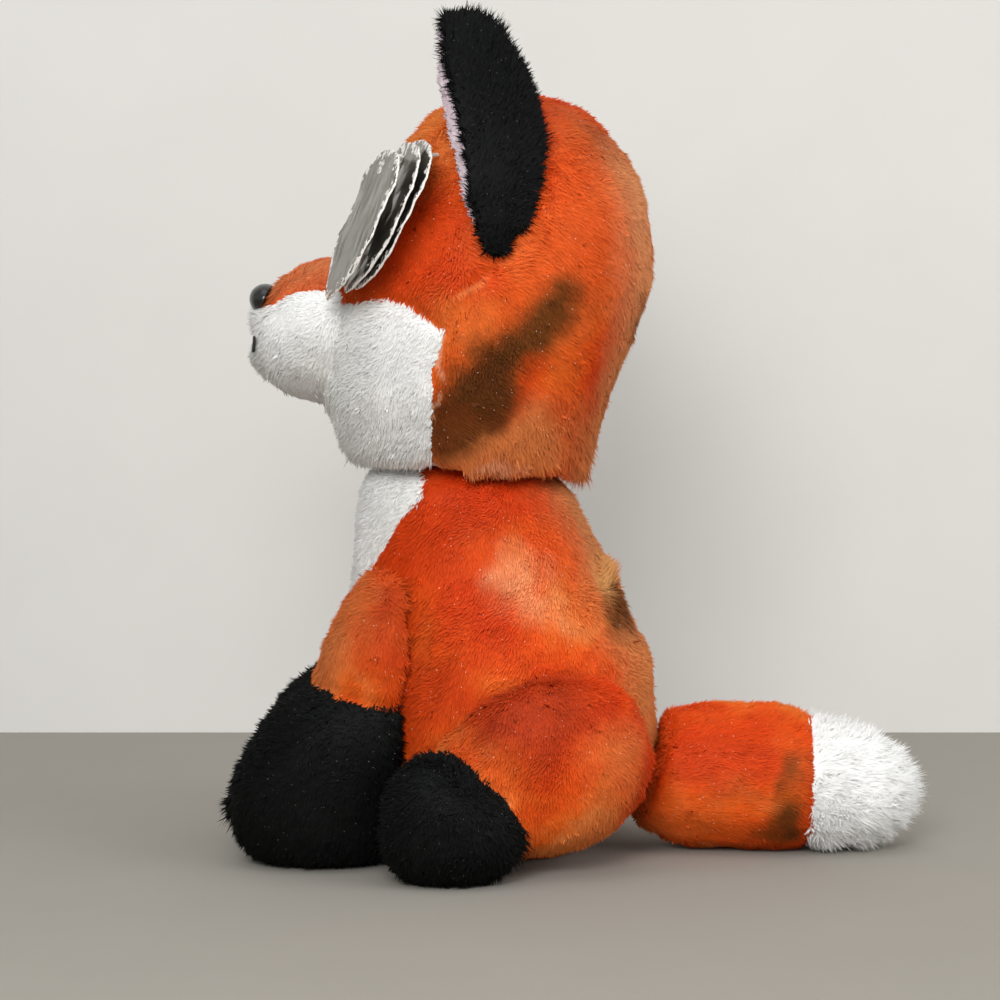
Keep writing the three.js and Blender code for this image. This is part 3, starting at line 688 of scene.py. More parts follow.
@dataclass(frozen=True)
class EyeFinish:
    """A clear plastic dome over a golden iris with a black pupil and a dark edge."""

    name: str = "eye_gold_acrylic"

    def material(self) -> bpy.types.Material:
        """Builds the material from the distance to the eye's middle, which the piece carries as "rim"."""
        material, tree = new_material(self.name)
        rim = add_node(tree, "Attribute", attribute_name="rim").outputs["Fac"]
        place = add_node(tree, "TexCoord").outputs["Object"]
        fibres = add_node(tree, "TexNoise", {"Vector": place, "Scale": 1 / (0.5 * MM), "Detail": 3.0})
        wobble = add_node(
            tree,
            "MapRange",
            {"Value": fibres.outputs["Fac"], "To Min": -0.03, "To Max": 0.03},
        )
        reach = add_node(tree, "Math", {0: rim, 1: wobble.outputs[0]}, operation="ADD")
        ring = add_node(
            tree,
            "ValToRGB",
            {"Fac": reach.outputs[0]},
            stops=[
                (0.0, "#050505"),
                (0.52, "#050505"),
                (0.56, "#5c4a12"),
                (0.7, "#a3862c"),
                (0.84, "#8a7a30"),
                (0.91, "#3a3010"),
                (0.95, "#0a0a08"),
            ],
        )
        shader = add_node(
            tree,
            "BsdfPrincipled",
            {"Base Color": ring.outputs[0], "Roughness": 0.12, "Coat Weight": 1.0, "Coat Roughness": 0.03},
        )
        close_material(tree, shader.outputs[0])
        return material


@dataclass(frozen=True)
class ThreadFinish:
    """Shiny embroidery thread."""

    name: str = "mouth_embroidery_thread"
    colour: str = "#101010"

    def material(self) -> bpy.types.Material:
        """Builds the material: a dark satin that a fine twist breaks up."""
        material, tree = new_material(self.name)
        place = add_node(tree, "TexCoord").outputs["Object"]
        twist = add_node(
            tree,
            "TexWave",
            {"Vector": place, "Scale": 1 / (1.6 * MM), "Distortion": 2.0},
            bands_direction="DIAGONAL",
        )
        tone = add_node(
            tree,
            "ValToRGB",
            {"Fac": twist.outputs["Fac"]},
            stops=[(0.0, self.colour), (1.0, "#2a2a2a")],
        )
        bump = add_node(tree, "Bump", {"Height": twist.outputs["Fac"], "Distance": 0.08 * MM})
        shader = add_node(
            tree,
            "BsdfPrincipled",
            {"Base Color": tone.outputs[0], "Roughness": 0.42, "Normal": bump.outputs[0]},
        )
        close_material(tree, shader.outputs[0])
        return material


@dataclass(frozen=True)
class FoilFinish:
    """Crinkled silver foil that faces the tag's card."""

    name: str = "tag_silver_foil"
    dull_painted_reflection: str = "#6b6963"
    colour: str = "#8b8981"
    paper: str = "#e4e1dc"

    def material(self) -> bpy.types.Material:
        """Builds the material: sharp crinkles in the shine, duller rubbed places, greys painted dark as a
        dim reflection, and white spots near the edge.
        """
        material, tree = new_material(self.name)
        place = add_node(tree, "TexCoord").outputs["Object"]
        # Handling has folded it into small flat facets that meet in sharp creases
        facets = add_node(
            tree,
            "TexVoronoi",
            {"Vector": place, "Scale": 1 / (9 * MM), "Randomness": 1.0},
        )
        fine = add_node(tree, "TexNoise", {"Vector": place, "Scale": 1 / (8 * MM), "Detail": 1.0})
        rubbed = add_node(
            tree,
            "MapRange",
            {"Value": fine.outputs["Fac"], "From Min": 0.3, "From Max": 0.7, "To Min": 0.12, "To Max": 0.3},
        )
        height = add_node(
            tree, "Math", {0: facets.outputs["Distance"], 1: fine.outputs["Fac"]}, operation="ADD"
        )
        bump = add_node(
            tree, "Bump", {"Height": height.outputs[0], "Strength": 0.6, "Distance": 0.9 * MM}
        )
        # Painted reflection: the foil's greys are far darker than bright foil, so that it reflects as dimly
        # as in a dim room
        tone = add_node(
            tree,
            "ValToRGB",
            {"Fac": fine.outputs["Fac"]},
            stops=[(0.3, self.dull_painted_reflection), (0.7, self.colour)],
        )
        # Near its edge small spots show white card: partly where the foil has flaked off, partly painted
        # glints of crinkles
        rim = add_node(tree, "Attribute", attribute_name="rim").outputs["Fac"]
        chips_and_glints = add_node(tree, "TexNoise", {"Vector": place, "Scale": 1 / (1.6 * MM), "Detail": 2.0})
        worn = add_node(tree, "Math", {0: rim, 1: 0.34}, operation="MULTIPLY")
        worn = add_node(tree, "Math", {0: worn.outputs[0], 1: chips_and_glints.outputs["Fac"]}, operation="ADD")
        bare = add_node(tree, "Math", {0: worn.outputs[0], 1: 0.8}, operation="GREATER_THAN")
        face = add_node(
            tree,
            "Mix",
            {0: bare.outputs[0], 6: tone.outputs[0], 7: linear(self.paper)},
            data_type="RGBA",
        )
        metal = add_node(tree, "Math", {0: 1.0, 1: bare.outputs[0]}, operation="SUBTRACT")
        shader = add_node(
            tree,
            "BsdfPrincipled",
            {
                "Base Color": face.outputs[2],
                "Metallic": metal.outputs[0],
                "Roughness": rubbed.outputs[0],
                "Normal": bump.outputs[0],
            },
        )
        close_material(tree, shader.outputs[0])
        return material


@dataclass(frozen=True)
class CardFinish:
    """White card with a few grey fibres, bare on its back and edges."""

    name: str = "tag_white_card"
    colour: str = "#e9e6e2"

    def material(self) -> bpy.types.Material:
        """Builds the material: a matt white with fine fibres."""
        material, tree = new_material(self.name)
        place = add_node(tree, "TexCoord").outputs["Object"]
        fibres = add_node(tree, "TexNoise", {"Vector": place, "Scale": 1 / (0.6 * MM), "Detail": 5.0})
        tone = add_node(
            tree,
            "ValToRGB",
            {"Fac": fibres.outputs["Fac"]},
            stops=[(0.3, "#dcd8d2"), (0.6, self.colour)],
        )
        bump = add_node(
            tree, "Bump", {"Height": fibres.outputs["Fac"], "Strength": 0.3, "Distance": 0.1 * MM}
        )
        shader = add_node(
            tree,
            "BsdfPrincipled",
            {"Base Color": tone.outputs[0], "Roughness": 0.7, "Normal": bump.outputs[0]},
        )
        close_material(tree, shader.outputs[0])
        return material


# Dyed orange pile: a red-orange wet dye that bleeds into light orange and tan; a few patches are painted
# highlights and painted shade
ORANGE_TINTS = ("#d63c0c", "#de4810", "#e65616", "#ec6a22", "#ee8440")
HEAD_PATCHES = (
    Patch("#dc4a12", (30, -38, 150), (34, -30, 138), 14),
    Patch("#e8823c", (8, -52, 165), (20, -40, 176), 16, 0.7, 0.8),
    Patch("#e25c20", (34, 4, 158), (36, 0, 140), 16, 0.7, 0.9),
    Patch("#ac5c32", (14, 0, 172), (10, 14, 162), 11, 0.7, 0.8),
    Patch("#e89c66", (12, 20, 158), (8, 21, 120), 15, 0.8, 0.9),
    Patch("#dc8654", (0, -74, 136), (10, -60, 143), 9, 0.7, 0.9),
    Patch("#d98a50", (6, 2, 92), (6, 13, 114), 11, 0.8, 0.9),
    Patch("#e88a4c", (30, -22, 98), (30, 6, 98), 11, 0.6, 0.9),
    Patch("#e2702c", (38, -27, 128), (40, -20, 120), 8, 0.7, 0.8),
    Patch("#6e3c14", (38, -1, 134), (38, -24, 113), 5.5, 0.75),
    Patch("#5f3210", (38, -20, 114), (36, -31, 103), 8.5, 0.5, 0.9),
    Patch("#6e3c14", (-30, 12, 140), (-38, -6, 150), 7, 0.7),
    Patch("#d8844a", (-34, -20, 110), (-30, 4, 104), 13, 0.7, 0.8),
    Patch("#6b3a16", (6, 19, 128), (-4, 19, 120), 6, 0.7, 0.7),
    # Painted highlights: thin light lines along the seams behind the cheek, up the side of the head and
    # round the neck
    Patch("#f4b890", (38, -30.7, 129), (36, -33, 95), 0.9, 0.8, 0.7),
    Patch("#f4884a", (40, -23.5, 142), (39, -30.7, 129), 1.2, 0.8, 0.7),
    Patch("#f4a67c", (31, -31, 92), (28, 14, 92), 2.2, 0.8, 0.7),
)
TORSO_PATCHES = (
    Patch("#d8430f", (24, -38, 78), (20, -20, 92), 13, 0.7),
    Patch("#f8b27a", (34, -12, 71), (35, -2, 66), 8, 0.8, 1.0),
    Patch("#cc4412", (24, -46, 56), (30, -34, 40), 10, 0.8, 0.7),
    Patch("#cf8652", (4, 2, 86), (6, 22, 38), 14, 0.8, 0.95),
    Patch("#e0a868", (7, 8, 70), (11, 8, 67), 5, 0.6, 0.9),
    Patch("#6b3a14", (8, 12, 61), (13, 8, 58), 5.5, 0.6, 0.95),
    Patch("#dc8244", (12, 21, 44), (20, 20, 30), 11, 0.8, 0.7),
    Patch("#5f3210", (-24, 4, 74), (-30, -6, 60), 6, 0.7, 0.9),
    Patch("#dd8a50", (-30, -26, 70), (-34, -20, 56), 10, 0.8, 0.8),
)
LIMB_PATCHES = (
    # Dye deepened as painted shade: dark red above the left haunch's crease
    Patch("#b83a10", (44, -6, 44), (40, -18, 38), 12, 0.7),
    Patch("#d8733a", (46, 10, 10), (44, 14, 30), 9, 0.8, 0.8),
    Patch("#be3c12", (34, -46, 68), (36, -44, 54), 11, 0.8, 0.85),
    Patch("#d07842", (26, -56, 68), (26, -60, 50), 7, 0.8, 0.85),
    # Dye deepened as painted shade: dark red above the right haunch's crease
    Patch("#cc3e10", (-44, 0, 36), (-44, -12, 26), 11, 0.7),
)
TAIL_PATCHES = (
    Patch("#da4812", (14, 30, 26), (14, 44, 28), 10, 0.7),
    Patch("#6b3a14", (12, 54, 20), (13, 50, 4), 5, 0.6, 0.95),
    Patch("#e8641e", (14, 18, 8), (12, 40, 4), 7, 0.8, 0.8),
    Patch("#7a4418", (-13, 30, 20), (-14, 40, 28), 6, 0.7, 0.8),
)

ORANGE_HEAD = PlushFinish("head_orange_pile", ORANGE_TINTS, HEAD_PATCHES, nap_way=(0.0, 0.6, -0.8))
ORANGE_TORSO = PlushFinish("torso_orange_pile", ORANGE_TINTS, TORSO_PATCHES, nap_way=(0.0, -0.3, -1.0))
ORANGE_LIMB = PlushFinish("leg_orange_pile", ORANGE_TINTS, LIMB_PATCHES, nap_way=(0.0, -0.4, -1.0))
ORANGE_TAIL = PlushFinish("tail_orange_pile", ORANGE_TINTS, TAIL_PATCHES, nap_way=(0.0, 1.0, -0.2))
# Undyed white pile, cool and matt, so that its own shadows give the form
WHITE = PlushFinish(
    "white_pile",
    ("#efefec", "#f4f4f2", "#f8f8f6"),
    root_shade=0.97,
    strand_share=0.03,
    light_streak_share=0.03,
    fleck_glint="#ffffff",
    sheen=0.15,
    roughness=0.8,
)
WHITE_TAIL = replace(WHITE, name="tail_white_pile")
# Black pile with silver tinsel, whose grey flecks are painted glints that read as sparkle in the dark
BLACK = PlushFinish(
    "black_pile",
    ("#0b0c0c", "#0e100f", "#121413"),
    root_shade=0.5,
    strand_share=0.3,
    light_streak_share=0.2,
    fleck_glint="#7c7c76",
    sheen=0.06,
    roughness=0.6,
)
# Satin velour, pink with a cool bloom at grazing angles
LINING = PlushFinish(
    "ear_pink_velour",
    ("#cdb9c0", "#d8c8cf", "#e2d6dc"),
    blotch=9.0,
    nap=1.2,
    root_shade=0.82,
    strand_share=0.05,
    light_streak_share=0.06,
    fleck_glint="#ffffff",
    sheen=0.5,
    roughness=0.55,
)
# Loose polyester fibre: a dull white with soft tangles, with the pile's painted light streaks
FIBRE = PlushFinish("polyester_fibre", ("#d8d2c6", "#e4dfd4"), root_shade=0.8, sheen=0.1)
NOSE_PLASTIC = PlasticFinish("nose_black_gloss_plastic", "#060607", 0.24, 0.3)
WASHER_PLASTIC = PlasticFinish("washer_white_polypropylene", "#dcdcd8", 0.45)
FASTENER_PLASTIC = PlasticFinish("fastener_clear_nylon", "#d8d8d2", 0.3)


# Plush pieces


@dataclass(frozen=True)
class Tuft:
    """A place where the pile grows longer, or shorter below zero, in mm, and the way it leans there."""

    place: Triple
    radius: float
    extra: float
    way: Triple


@dataclass(frozen=True)
class Pile:
    """How a pile stands, in mm: its length, how far it leans over along the nap, and how it varies."""

    length: float
    lay: Triple
    lean: float = 35.0
    depth: float = 1.1
    ragged: float = 0.22
    wander: float = 0.22
    clump: float = 0.3
    clump_size: float = 2.2
    tufts: tuple[Tuft, ...] = ()


@dataclass(frozen=True)
class Panel:
    """A piece that is cut from a form by colour.

    It has its nodes, finish and slot, how its pile stands, and how far its neighbours' pile grows over it.
    """

    name: str
    nodes: tuple[str, ...]
    finish: PlushFinish
    slot: str
    pile: Pile
    overgrown: float = 0.0


def other_side(names: Sequence[str]) -> tuple[str, ...]:
    """The right side's names of things on the left."""
    return tuple(name.replace(Side.LEFT.value, Side.RIGHT.value) for name in names)


def majority(votes: np.ndarray) -> np.ndarray:
    """What most of each row's three numbers say."""
    return np.where(votes[:, 1] == votes[:, 2], votes[:, 1], votes[:, 0])


@dataclass
class PlushForm:
    """One stuffed form of the toy, sewn from panels, with its pile. Lengths are in mm.

    Its coarse surface has faces of one voxel, evened out in rounds and divided before the pile is raised.
    Pile beside a neighbour reaches towards it, is longer by the hem, and may lap over it.
    """

    name: str
    body: str
    panels: tuple[Panel, ...]
    filling: tuple[str, ...] = ()
    voxel: float = 2.9
    rounds: int = 14
    divisions: int = 2
    puff: float = 1.0
    seam_depth: float = 0.7
    seam_width: float = 1.3
    rim_rounds: int = 5
    rim_width: float = 3.5
    reach: float = 0.3
    hem: float = 0.5
    lap: float = 1.0
    spare: tuple[str, ...] = ()
    plug: Optional[tuple[Triple, float, float]] = None
    mirror: Optional[str] = None
    made: list[bpy.types.Object] = field(default_factory=list)

    INFLATE = 0.25
    FAR = 6.0
    SIGHT = 45.0
    BARE_ROOM = 0.35
    CLOTH_FRAMES = 20
    SLOW_WAVES = 22.0
    LENGTH_WAVES = 9.0
    SOFT_SHARE = 0.25
    # The tip value of bare backing, which the pile's material paints dark as shade
    BARE_SHADE_TIP = -1.3

    @property
    def nodes(self) -> tuple[str, ...]:
        """All of the CAD nodes that the form stands for."""
        return sum((p.nodes for p in self.panels), ()) + self.filling

    def build(self) -> list[bpy.types.Object]:
        """Builds the form's pieces and dresses them.

        Returns:
            The pieces, with those of the other side if the form is mirrored.
        """
        shape = self._shape()
        self._stuff(shape)
        with editing(shape, "SELECT"):
            shape.data.uv_layers.new(name="OFBake")
            bpy.ops.uv.smart_project(angle_limit=math.radians(66), island_margin=0.01)
        modify(shape, "SUBSURF", levels=self.divisions, render_levels=self.divisions)
        self._grow(shape)
        self._cut(shape)
        return self.made

    def _shape(self) -> bpy.types.Object:
        """Fuses the form's nodes into one even closed surface."""
        shape = joined_copy(self.name, self.nodes)
        put_points(shape, points_of(shape) + self.INFLATE * MM * normals_of(shape))
        if self.plug:
            place, radius, height = self.plug
            bpy.ops.mesh.primitive_cylinder_add(
                vertices=32, radius=radius * MM, depth=height * MM, location=[c * MM for c in place]
            )
            join([shape, bpy.context.view_layer.objects.active], self.name)
        modify(shape, "REMESH", mode="VOXEL", voxel_size=self.voxel * MM)
        outermost = int(np.argmax(points_of(shape)[:, 0]))
        shape.data.vertices.foreach_set("select", np.arange(len(shape.data.vertices)) == outermost)
        with editing(shape, "", "VERT"):
            bpy.ops.mesh.select_linked()
            bpy.ops.mesh.select_all(action="INVERT")
            bpy.ops.mesh.delete(type="VERT")
        even_out(shape, self.rounds)
        # Where the form meets a neighbour, its rim is rounded in, as a sewn edge is
        near = distances(self._around(), points_of(shape), self.FAR * MM)
        relax(shape, [0.5] * self.rim_rounds, np.clip(1.3 - near / (self.rim_width * MM), 0, 1))
        put_points(shape, points_of(shape) - self._inset() * normals_of(shape))
        return shape

    def _inset(self) -> float:
        """How far the fabric lies under the outside of the pile, in metres."""
        return (min(p.pile.depth for p in self.panels) + self.INFLATE) * MM

    def _around(self) -> BVHTree:
        """A search tree over the CAD nodes round the form."""
        own = set(self.nodes) | set(self.spare)
        return tree_of([node for node in frame["nodes"] if node not in own])

    def _seams(self, points: np.ndarray) -> tuple[np.ndarray, np.ndarray]:
        """Finds which node each point lies under, and how far its seam is.

        Args:
            points: Points near the form's surface.

        Returns:
            The index of the panel, and the distance to the nearest other node.
        """
        owners = [(number, node) for number, panel in enumerate(self.panels) for node in panel.nodes]
        table = np.array([distances(tree_of([node]), points, self.FAR * MM) for _, node in owners])
        table += np.array([[self.panels[number].overgrown * MM] for number, _ in owners])
        order = np.argsort(table, axis=0)
        here = np.arange(len(points))
        owner = np.array([number for number, _ in owners])[order[0]]
        if len(owners) == 1:
            return owner, np.full(len(points), self.FAR * MM)
        nearest, second = table[order[0], here], table[order[1], here]
        return owner, np.sqrt(np.maximum(second**2 - nearest**2, 0))

    def _stuff(self, shape: bpy.types.Object) -> None:
        """Blows the form up a little between its seams, as stuffing does, with a short cloth run."""
        if self.puff <= 0:
            return
        before = points_of(shape)
        _, seam = self._seams(before)
        held = shape.vertex_groups.new(name="seams")
        held.add(np.nonzero(seam < self.voxel * MM)[0].tolist(), 1.0, "REPLACE")
        only(shape)
        cloth = shape.modifiers.new("stuffing", "CLOTH")
        for key, value in {
            "quality": 5,
            "mass": 0.1,
            "use_pressure": True,
            "uniform_pressure_force": 4,
            "tension_stiffness": 20,
            "compression_stiffness": 20,
            "bending_stiffness": 0.5,
            "vertex_group_mass": held.name,
        }.items():
            setattr(cloth.settings, key, value)
        cloth.settings.effector_weights.gravity = 0
        for number in range(1, self.CLOTH_FRAMES + 1):
            bpy.context.scene.frame_set(number)
        bpy.ops.object.modifier_apply(modifier=cloth.name)
        bpy.context.scene.frame_set(1)
        moved = points_of(shape) - before
        size = np.linalg.norm(moved, axis=1, keepdims=True)
        log.info("%s: cloth moved %.2f mm at most", self.name, size.max() / MM)
        put_points(shape, before + moved * np.minimum(1, self.puff * MM / np.maximum(size, 1e-9)))
        shape.vertex_groups.clear()

    def _grow(self, shape: bpy.types.Object) -> None:
        """Presses in the seams and raises the pile, one spike on each small face.

        Args:
            shape: The fine closed surface of the form.
        """
        rng = np.random.default_rng(SEED + len(self.name))
        points, outward = points_of(shape), normals_of(shape)
        panel, seam = self._seams(points)
        points -= outward * (self.seam_depth * MM * np.exp(-((seam / (self.seam_width * MM)) ** 2)))[:, None]
        around = self._around()
        near, off = clearances(around, points, self.FAR * MM)
        seen = np.ones(len(points), bool)
        close = near < 0.8 * self.FAR * MM
        seen[close] = open_to_view(around, points[close], outward[close], 0.3 * MM, self.SIGHT * MM)
        spacing = self.voxel * MM / 2**self.divisions
        put_points(shape, points + across(rng.normal(size=points.shape) * 0.2 * spacing, outward))
        modify(shape, "TRIANGULATE", quad_method="SHORTEST_DIAGONAL")
        mesh = shape.data
        base = len(mesh.vertices)
        corners = column(mesh.polygons, "vertices", 3, np.int32)
        points, outward = points_of(shape), normals_of(shape)
        room = near[corners].mean(1)
        chosen = seen[corners].any(1) & (room > self.BARE_ROOM * MM)
        mesh.polygons.foreach_set("select", chosen)
        with editing(shape, ""):
            bpy.ops.mesh.poke(offset=0.0, center_mode="MEDIAN")
        corners, room = corners[chosen], room[chosen]
        root, sides, away = points[corners].mean(1), unit(outward[corners].mean(1)), off[corners].mean(1)
        added = points_of(shape)[base:]
        if len(added) != len(root) or not np.allclose(added, root, atol=2e-6):
            raise RuntimeError(f"{self.name}: {len(added)} new points don't follow {len(root)} faces")
        owner = majority(panel[corners])
        tips = root.copy()
        for number, part in enumerate(self.panels):
            mine = owner == number
            if mine.any():
                tips[mine] = self._tips(root[mine], sides[mine], room[mine], away[mine], part.pile, rng)
        put_points(shape, np.concatenate([points, tips]))
        # The pile takes the light as the soft form under it does, with a little of each strand's own way
        soft = unit(sides + self.SOFT_SHARE * unit(tips - root))
        carry(shape, "soft_way", np.concatenate([outward, soft]), "FLOAT_VECTOR")
        self._mark(shape, base, owner, panel, rng)

    def _tips(
        self,
        root: np.ndarray,
        outward: np.ndarray,
        room: np.ndarray,
        away: np.ndarray,
        pile: Pile,
        rng: np.random.Generator,
    ) -> np.ndarray:
        """Places the tips of a pile's spikes.

        Args:
            root: The middles of the faces that they stand on.
            outward: The directions out of the fabric there.
            room: How far the neighbours are.
            away: The directions that lead off them.
            pile: How the pile stands.
            rng: The form's random numbers.

        Returns:
            The tips, one a root.
        """
        slow = waves(root, self.SLOW_WAVES * MM, SEED)
        lay = np.array(pile.lay, float) + 0.35 * slow
        length = pile.length * MM * (1 + 0.12 * waves(root, self.LENGTH_WAVES * MM, SEED + 1)[:, :1])
        for tuft in pile.tufts:
            offset = np.linalg.norm(root - np.array(tuft.place) * MM, axis=1)
            pull = np.exp(-((offset / (tuft.radius * MM)) ** 2))[:, None]
            length = length + tuft.extra * MM * pull * rng.uniform(0.3, 1, (len(root), 1))
            lay = lay * (1 - pull) + np.array(tuft.way) * pull * 1.5
        lean = np.radians(pile.lean) * (1 + 0.3 * slow[:, 1:2])
        length *= np.clip(1 + pile.ragged * rng.normal(size=(len(root), 1)), 0.5, 1.7)
        way = outward * np.cos(lean) + unit(across(lay, outward)) * np.sin(lean)
        way += pile.wander * rng.normal(size=root.shape)
        way += pile.clump * waves(root, pile.clump_size * MM, SEED + 2)
        # Beside a neighbour the pile reaches over the crevice between them and hides it
        crowd = np.clip(1.2 - room / (0.7 * self.FAR * MM), 0, 1)[:, None]
        way = unit(way) - self.reach * crowd * across(away, outward)
        way = unit(way + outward * np.maximum(0.3 - dots(way, outward), 0))
        length += self.hem * MM * crowd
        # A tip stops where it would lap too far over the neighbour
        free = room - 0.5 * np.maximum(room - self._inset(), 0) + self.lap * MM
        toward = np.maximum(-dots(way, away)[:, 0], 0.05)
        limit = np.where(room < 0.98 * self.FAR * MM, np.maximum(free, 0.2 * MM) / toward, 1.0)
        tips = root + np.minimum(length, limit[:, None]) * way
        tips[:, 2] = np.maximum(tips[:, 2], 0.1 * MM)
        return tips

    def _mark(
        self,
        shape: bpy.types.Object,
        base: int,
        owner: np.ndarray,
        panel: np.ndarray,
        rng: np.random.Generator,
    ) -> None:
        """Writes each face's panel and shade, and what is a tip.

        Args:
            shape: The piled form.
            base: How many of its vertices are backing.
            owner: The panel of each spike.
            panel: The panel of each backing vertex.
            rng: The form's random numbers.
        """
        mesh = shape.data
        corners = column(mesh.polygons, "vertices", 3, np.int32)
        top = corners.max(1)
        piled = top >= base
        spike = np.maximum(top - base, 0)
        shades = rng.uniform(size=max(len(owner), 1))
        index = np.where(piled, owner[spike], majority(panel[np.minimum(corners, base - 1)]))
        mesh.polygons.foreach_set("material_index", index.astype(np.int32))
        # A vertex is 1 at a tip, 0 at a root, and below 0 on bare backing, which lies deep in a crevice,
        # where the material paints it darkest as shade
        tip = np.full(len(mesh.vertices), self.BARE_SHADE_TIP)
        tip[np.unique(corners[piled])] = 0.0
        tip[base:] = 1.0
        carry(shape, "tip", tip)
        carry(shape, "strand", np.where(piled, shades[spike], 0.5), domain="FACE")
        mesh.polygons.foreach_set("use_smooth", np.ones(len(mesh.polygons), bool))
        for part in self.panels:
            mesh.materials.append(material_for(part.finish))
        mesh.update()

    def _cut(self, shape: bpy.types.Object) -> None:
        """Parts the form into its panels' pieces, closes each, and dresses them."""
        if len(self.panels) == 1:
            self._dress(shape, self.panels[0])
            return
        with editing(shape, "SELECT"):
            bpy.ops.mesh.separate(type="MATERIAL")
        for piece in list(bpy.context.selected_objects):
            names = [m.name for m in piece.data.materials]
            worn = names[piece.data.polygons[0].material_index if len(names) > 1 else 0]
            part = next(p for p in self.panels if p.finish.name == worn)
            with editing(piece, mode="EDGE"):
                bpy.ops.mesh.select_non_manifold()
                bpy.ops.mesh.fill_holes(sides=0)
                bpy.ops.mesh.select_all(action="SELECT")
                bpy.ops.mesh.quads_convert_to_tris()
            piece.data.materials.clear()
            piece.data.materials.append(material_for(part.finish))
            piece.data.polygons.foreach_set("material_index", np.zeros(len(piece.data.polygons), np.int32))
            self._dress(piece, part)

    def _dress(self, piece: bpy.types.Object, part: Panel) -> None:
        """Ties a piece, and its copy on the other side, to the frame."""
        piece.name = part.name
        nodes = part.nodes + (self.filling if part is self.panels[0] else ())
        pairs = [(piece, self.body, nodes)]
        if self.mirror:
            other = mirrored_copy(piece, other_side([part.name])[0])
            pairs.append((other, self.mirror, other_side(nodes)))
        for obj, body, own in pairs:
            light_softly(obj, obj is not piece)
            self.made.append(dress(obj, body, own))


def light_softly(obj: bpy.types.Object, turned: bool) -> None:
    """Makes a piled piece take the light along its stored soft directions.

    Args:
        obj: The piece.
        turned: Whether it is a mirrored copy.
    """
    mesh = obj.data
    rows = unit(column(mesh.attributes["soft_way"].data, "vector"))
    if turned:
        rows[:, 0] *= -1
    mesh.attributes.remove(mesh.attributes["soft_way"])
    rows = rows[column(mesh.loops, "vertex_index", 1, np.int32)]
    counts = column(mesh.polygons, "loop_total", 1, np.int32)
    facing = np.repeat(column(mesh.polygons, "normal"), counts, axis=0)
    # A strand's underside turns away from the soft direction, so its own is bent until it can take light
    rows = unit(rows + facing * np.maximum(0.3 - dots(rows, facing), 0))
    mesh.normals_split_custom_set(rows.tolist())


MATERIALS: dict[str, bpy.types.Material] = {}


def material_for(finish: Any) -> bpy.types.Material:
    """A finish's material, made once."""
    if finish.name not in MATERIALS:
        MATERIALS[finish.name] = finish.material()
    return MATERIALS[finish.name]


ORANGE_PILE = Pile(
    1.8, (0.0, 0.5, -0.9), lean=58, depth=0.9, ragged=0.2, wander=0.1, clump=0.1, clump_size=4.0
)
WHITE_PILE = Pile(
    1.5, (0.0, -0.2, -0.8), lean=48, depth=0.8, ragged=0.25, wander=0.12, clump=0.08, clump_size=5.0
)
BOOT_PILE = Pile(
    1.7,
    (0.0, -0.3, -0.6),
    lean=48,
    depth=0.9,
    ragged=0.35,
    tufts=(Tuft((16, -84, 12), 7, 2.6, (0.0, -1.0, -0.4)),),
)
FOOT_PILE = replace(BOOT_PILE, lay=(0.2, -0.2, -0.8), tufts=(Tuft((46, -13, 10), 6, 2.2, (0.2, 0.9, -0.6)),))
TAIL_TIP_PILE = Pile(
    2.4,
    (0.0, 1.0, 0.0),
    lean=42,
    depth=0.9,
    ragged=0.4,
    clump=0.45,
    clump_size=4.0,
    tufts=(Tuft((0, 84, 18), 14, 0.9, (0.0, 1.0, 0.0)),),
)
EAR_PILE = Pile(
    1.9,
    (0.1, -0.1, 1.0),
    lean=38,
    depth=0.5,
    ragged=0.35,
    tufts=(
        Tuft((27, -22, 198), 8, 1.8, (0.0, 0.5, 1.0)),
        Tuft((33, -9, 171), 4, 1.6, (0.0, 1.0, 0.6)),
    ),
)
LINING_PILE = Pile(0.9, (0.0, 0.0, 1.0), lean=30, depth=0.35, ragged=0.2, clump=0.15)


def hanging(
    places: Sequence[tuple[float, float]], height: float, extra: float, lean_back: float
) -> tuple[Tuft, ...]:
    """Tufts that hang from the head's lower edge on both sides, in mm.

    Args:
        places: How far they are to the side and to the back.
        height: How high they are.
        extra: How much longer the pile is there.
        lean_back: How far they lean to the back, or to the front below zero.

    Returns:
        Two tufts a place, the left one first.
    """
    return tuple(
        Tuft((side * x, y, height), 6.5, extra, (side * 0.15, lean_back, -1.0))
        for x, y in places
        for side in (1, -1)
    )


def orange(name: str, nodes: tuple[str, ...], finish: PlushFinish, lay: Triple, *tufts: Tuft) -> Panel:
    """A panel of the dyed pile.

    Args:
        name: The panel's name.
        nodes: The CAD nodes that it stands for.
        finish: Its dye.
        lay: The way that its pile lies.
        tufts: Where its pile is longer or shorter.

    Returns:
        The panel.
    """
    return Panel(name, nodes, finish, "orange_plush", replace(ORANGE_PILE, lay=lay, tufts=tufts))


